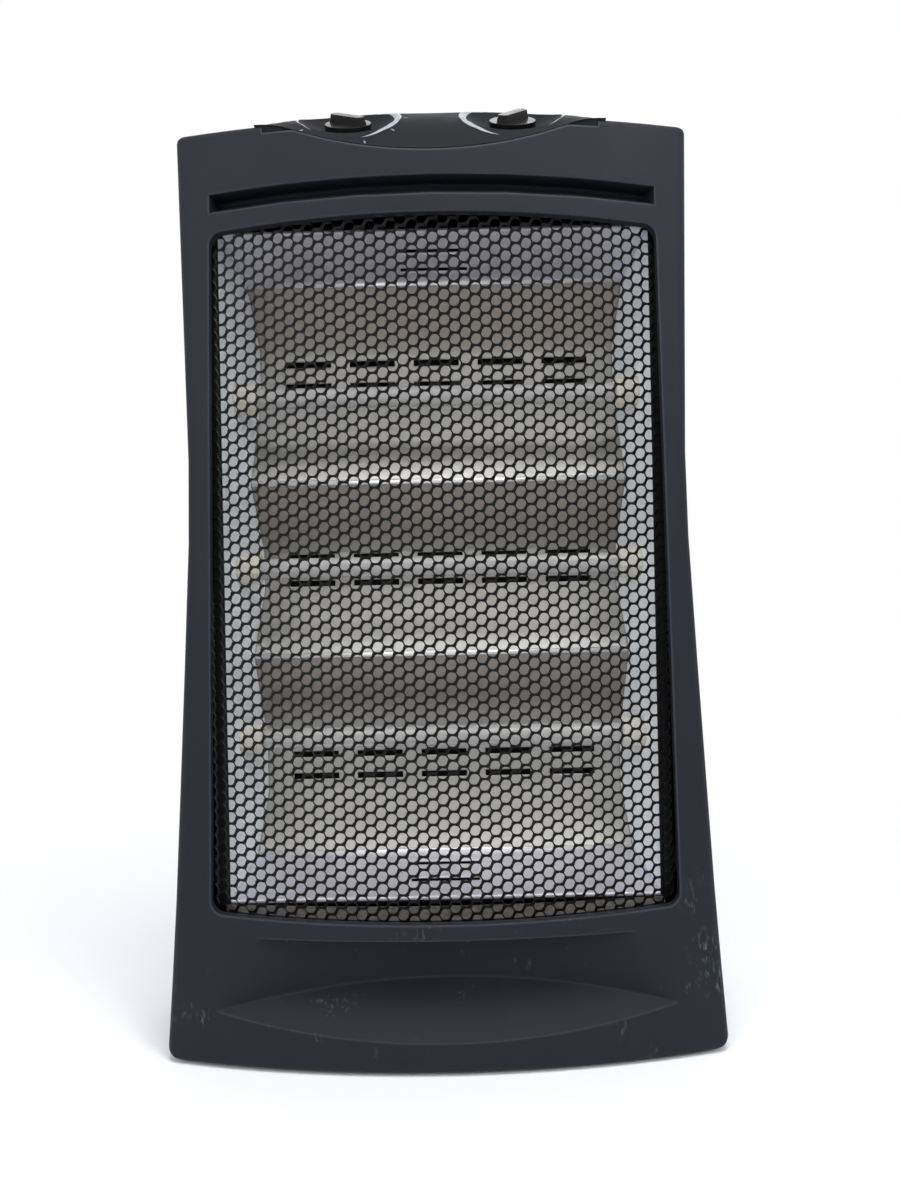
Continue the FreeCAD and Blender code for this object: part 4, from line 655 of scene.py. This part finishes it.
for jointName, inward in (("thermostat_turn", 0.0), ("selector_turn", 180.0)):
    dial = dialFrame(jointName)
    label = jointName.split("_")[0]
    inner = crescentGrid(inward, crescent["spread"], crescent["widthMm"])
    outer = crescentGrid(inward + 180.0, crescent["outerSpread"], crescent["outerWidthMm"])
    printedPatch(label + "_crescent_inner", dial, inner)
    printedPatch(label + "_crescent_outer", dial, outer)
    for count, turn in enumerate(tickTurns[jointName]):
        grid = tickGrid(turn)
        if all(pressed(dial, x, y) is not None for row in grid for x, y in row):  # else it is off the panel
            printedPatch("%s_tick_%d" % (label, count), dial, grid)
print("panel printed")


# lip of the control panel behind the bezel's rounded edge, where the seam runs out to the shoulder
lip = {"fromMm": 66.0, "toMm": 103.4, "steps": 16, "setBackMm": 0.8, "thickMm": 1.2, "upMm": 0.6, "downMm": 5.0,
       "halfMm": 105.0, "dipMm": 20.0, "valleyShare": 0.78, "shoulderMm": 555.0, "frontMm": -90.0, "bowMm": 600.0}


def seamHeight(x):
    turn = 2 * math.atan(lip["dipMm"] / lip["halfMm"])
    total = lip["halfMm"] / math.sin(turn)
    valley = total * lip["valleyShare"]
    blend = total - valley
    if x < valley * math.sin(turn):
        return lip["shoulderMm"] - lip["dipMm"] + sag(valley, x)
    return lip["shoulderMm"] - sag(blend, lip["halfMm"] - x)


def panelLip(name, side):
    thick, up, down = lip["thickMm"], lip["upMm"], -lip["downMm"]
    points, faces = [], []
    for step in range(lip["steps"] + 1):
        x = lip["fromMm"] + (lip["toMm"] - lip["fromMm"]) * step / lip["steps"]
        y = lip["frontMm"] + sag(lip["bowMm"], x) + lip["setBackMm"]
        z = seamHeight(x)
        for back, height in ((0, up), (thick, up), (thick, down), (0, down)):
            points.append((side * x * mm, (y + back) * mm, (z + height) * mm))
        if step > 0:
            faces += ringFaces(4 * (step - 1), 4)
    last = 4 * lip["steps"]
    faces += [(3, 2, 1, 0), (last, last + 1, last + 2, last + 3)]
    if side > 0:
        faces = [face[::-1] for face in faces]
    meshPiece(name, points, faces, glossAbs, "housing")


panelLip("panel_lip_left", -1)
panelLip("panel_lip_right", 1)
print("panel lips made")


# pointer line on each knob's grip
pointer = {"startMm": 3.0, "endMm": 11.6, "widthMm": 1.1, "heightMm": 9.6, "sunkMm": 0.2, "proudMm": 0.12}
restTurns = {"thermostat_turn": ("thermostat_dial", -38.0), "selector_turn": ("selector_dial", 52.0)}


def knobPointer(name, jointName, body, turn):
    origin, right, up, axis = dialFrame(jointName)
    heading = right * math.cos(math.radians(turn)) + up * math.sin(math.radians(turn))
    side = axis.cross(heading) * pointer["widthMm"] / 2
    start, end = pointer["startMm"], pointer["endMm"]
    points = []
    for height in (pointer["heightMm"] - pointer["sunkMm"], pointer["heightMm"] + pointer["proudMm"]):
        for along, across in ((start, -1), (end, -1), (end, 1), (start, 1)):
            points.append(origin + (heading * along + side * across + axis * height) * mm)
    meshPiece(name, points, [(3, 2, 1, 0), (4, 5, 6, 7)] + ringFaces(0, 4), inkGrey, body)


for jointName, (body, turn) in restTurns.items():
    knobPointer(jointName.split("_")[0] + "_pointer", jointName, body, turn)
print("pointers made")


# studio: pale floor, soft light, camera at the photograph's viewing angle
studio = {
    "floorColour": "#f4f4f4", "floorHalfM": 8.0, "fadeM": (0.16, 0.7),
    "skyColour": "#e6eef8", "groundColour": "#6b6560", "skyStrength": 0.7, "skyRange": (-0.35, 0.6),
    "lamps": {
        "key": {"placeM": (0.1, -0.45, 1.3), "sizeM": 0.7, "watts": 9.5},
        "fill": {"placeM": (0.9, -1.15, 1.0), "sizeM": 0.6, "watts": 8.0},
        "side": {"placeM": (-1.0, -1.2, 0.8), "sizeM": 0.8, "watts": 8.0},
        "back": {"placeM": (0.2, 1.3, 1.5), "sizeM": 1.2, "watts": 10.0},
    },
}
view = {"placeM": (0.0062, -0.6402, 0.2733), "lens": 28.5, "sensor": 36.0, "roll": 1.15}


def seenDirectly(tree):  # by the camera, or in metal and glass
    path = addNode(tree, "ShaderNodeLightPath")
    shown = addNode(tree, "ShaderNodeMath", {"operation": "MAXIMUM"},
                    {0: path.outputs["Is Camera Ray"], 1: path.outputs["Is Glossy Ray"]})
    return addNode(tree, "ShaderNodeMath", {"operation": "MAXIMUM"},
                   {0: shown.outputs[0], 1: path.outputs["Is Transmission Ray"]}).outputs[0]


def paleFloor():
    half = studio["floorHalfM"]
    mesh = bpy.data.meshes.new("floor")
    mesh.from_pydata([(-half, -half, 0), (half, -half, 0), (half, half, 0), (-half, half, 0)], [], [(0, 1, 2, 3)])
    floor = placeObject("floor", mesh)
    material, tree = startMaterial("paleStudioFloor")
    place = addNode(tree, "ShaderNodeTexCoord").outputs["Object"]
    reach = addNode(tree, "ShaderNodeVectorMath", {"operation": "LENGTH"}, {0: place})
    near, far = studio["fadeM"]
    fade = addNode(tree, "ShaderNodeMapRange",
                   {"From Min": near, "From Max": far, "interpolation_type": "SMOOTHSTEP"},
                   {"Value": reach.outputs["Value"]})
    fade = addNode(tree, "ShaderNodeMath", {"operation": "MULTIPLY"},
                   {0: fade.outputs[0], 1: seenDirectly(tree)})
    matt = addNode(tree, "ShaderNodeBsdfDiffuse", {"Color": linear(studio["floorColour"])})
    glow = addNode(tree, "ShaderNodeEmission", {"Strength": 1.0})
    mixed = addNode(tree, "ShaderNodeMixShader",
                    links={0: fade.outputs[0], 1: matt.outputs[0], 2: glow.outputs[0]})
    addNode(tree, "ShaderNodeOutputMaterial", links={"Surface": mixed.outputs[0]})
    mesh.materials.append(material)


def softWorld():
    world = bpy.data.worlds.new("softWorld")
    world.use_nodes = True
    tree = world.node_tree
    tree.nodes.clear()
    heading = addNode(tree, "ShaderNodeTexCoord").outputs["Generated"]
    height = addNode(tree, "ShaderNodeSeparateXYZ", links={0: heading}).outputs["Z"]
    low, high = studio["skyRange"]
    rise = addNode(tree, "ShaderNodeMapRange", {"From Min": low, "From Max": high}, {"Value": height})
    ground, sky = linear(studio["groundColour"]), linear(studio["skyColour"])
    tint = addNode(tree, "ShaderNodeMix", {"data_type": "RGBA", mixA: ground, mixB: sky}, {0: rise.outputs[0]})
    dim = addNode(tree, "ShaderNodeBackground", {"Strength": studio["skyStrength"]},
                  {"Color": tint.outputs[mixOut]})
    white = addNode(tree, "ShaderNodeBackground", {"Color": (1, 1, 1, 1), "Strength": 1.0})
    mixed = addNode(tree, "ShaderNodeMixShader",
                    links={0: seenDirectly(tree), 1: dim.outputs[0], 2: white.outputs[0]})
    addNode(tree, "ShaderNodeOutputWorld", links={"Surface": mixed.outputs[0]})
    bpy.context.scene.world = world


def softLamp(name, settings):
    lamp = bpy.data.lights.new(name, "AREA")
    lamp.size = settings["sizeM"]
    lamp.energy = settings["watts"]
    holder = placeObject(name, lamp)
    holder.location = settings["placeM"]
    aim = (cadBox[0] + cadBox[1]) / 2 - holder.location
    holder.rotation_euler = aim.to_track_quat("-Z", "Y").to_euler()


def photoCamera():
    camera = bpy.data.cameras.new("camera")
    camera.lens = view["lens"]
    camera.sensor_fit = "AUTO"
    camera.sensor_width = view["sensor"]
    holder = placeObject("camera", camera)
    holder.location = view["placeM"]
    holder.rotation_euler = (math.radians(90), math.radians(view["roll"]), 0)
    bpy.context.scene.camera = holder


paleFloor()
softWorld()
for lampName, settings in studio["lamps"].items():
    softLamp(lampName, settings)
photoCamera()
bpy.context.scene.view_settings.view_transform = "Standard"
print("studio ready")
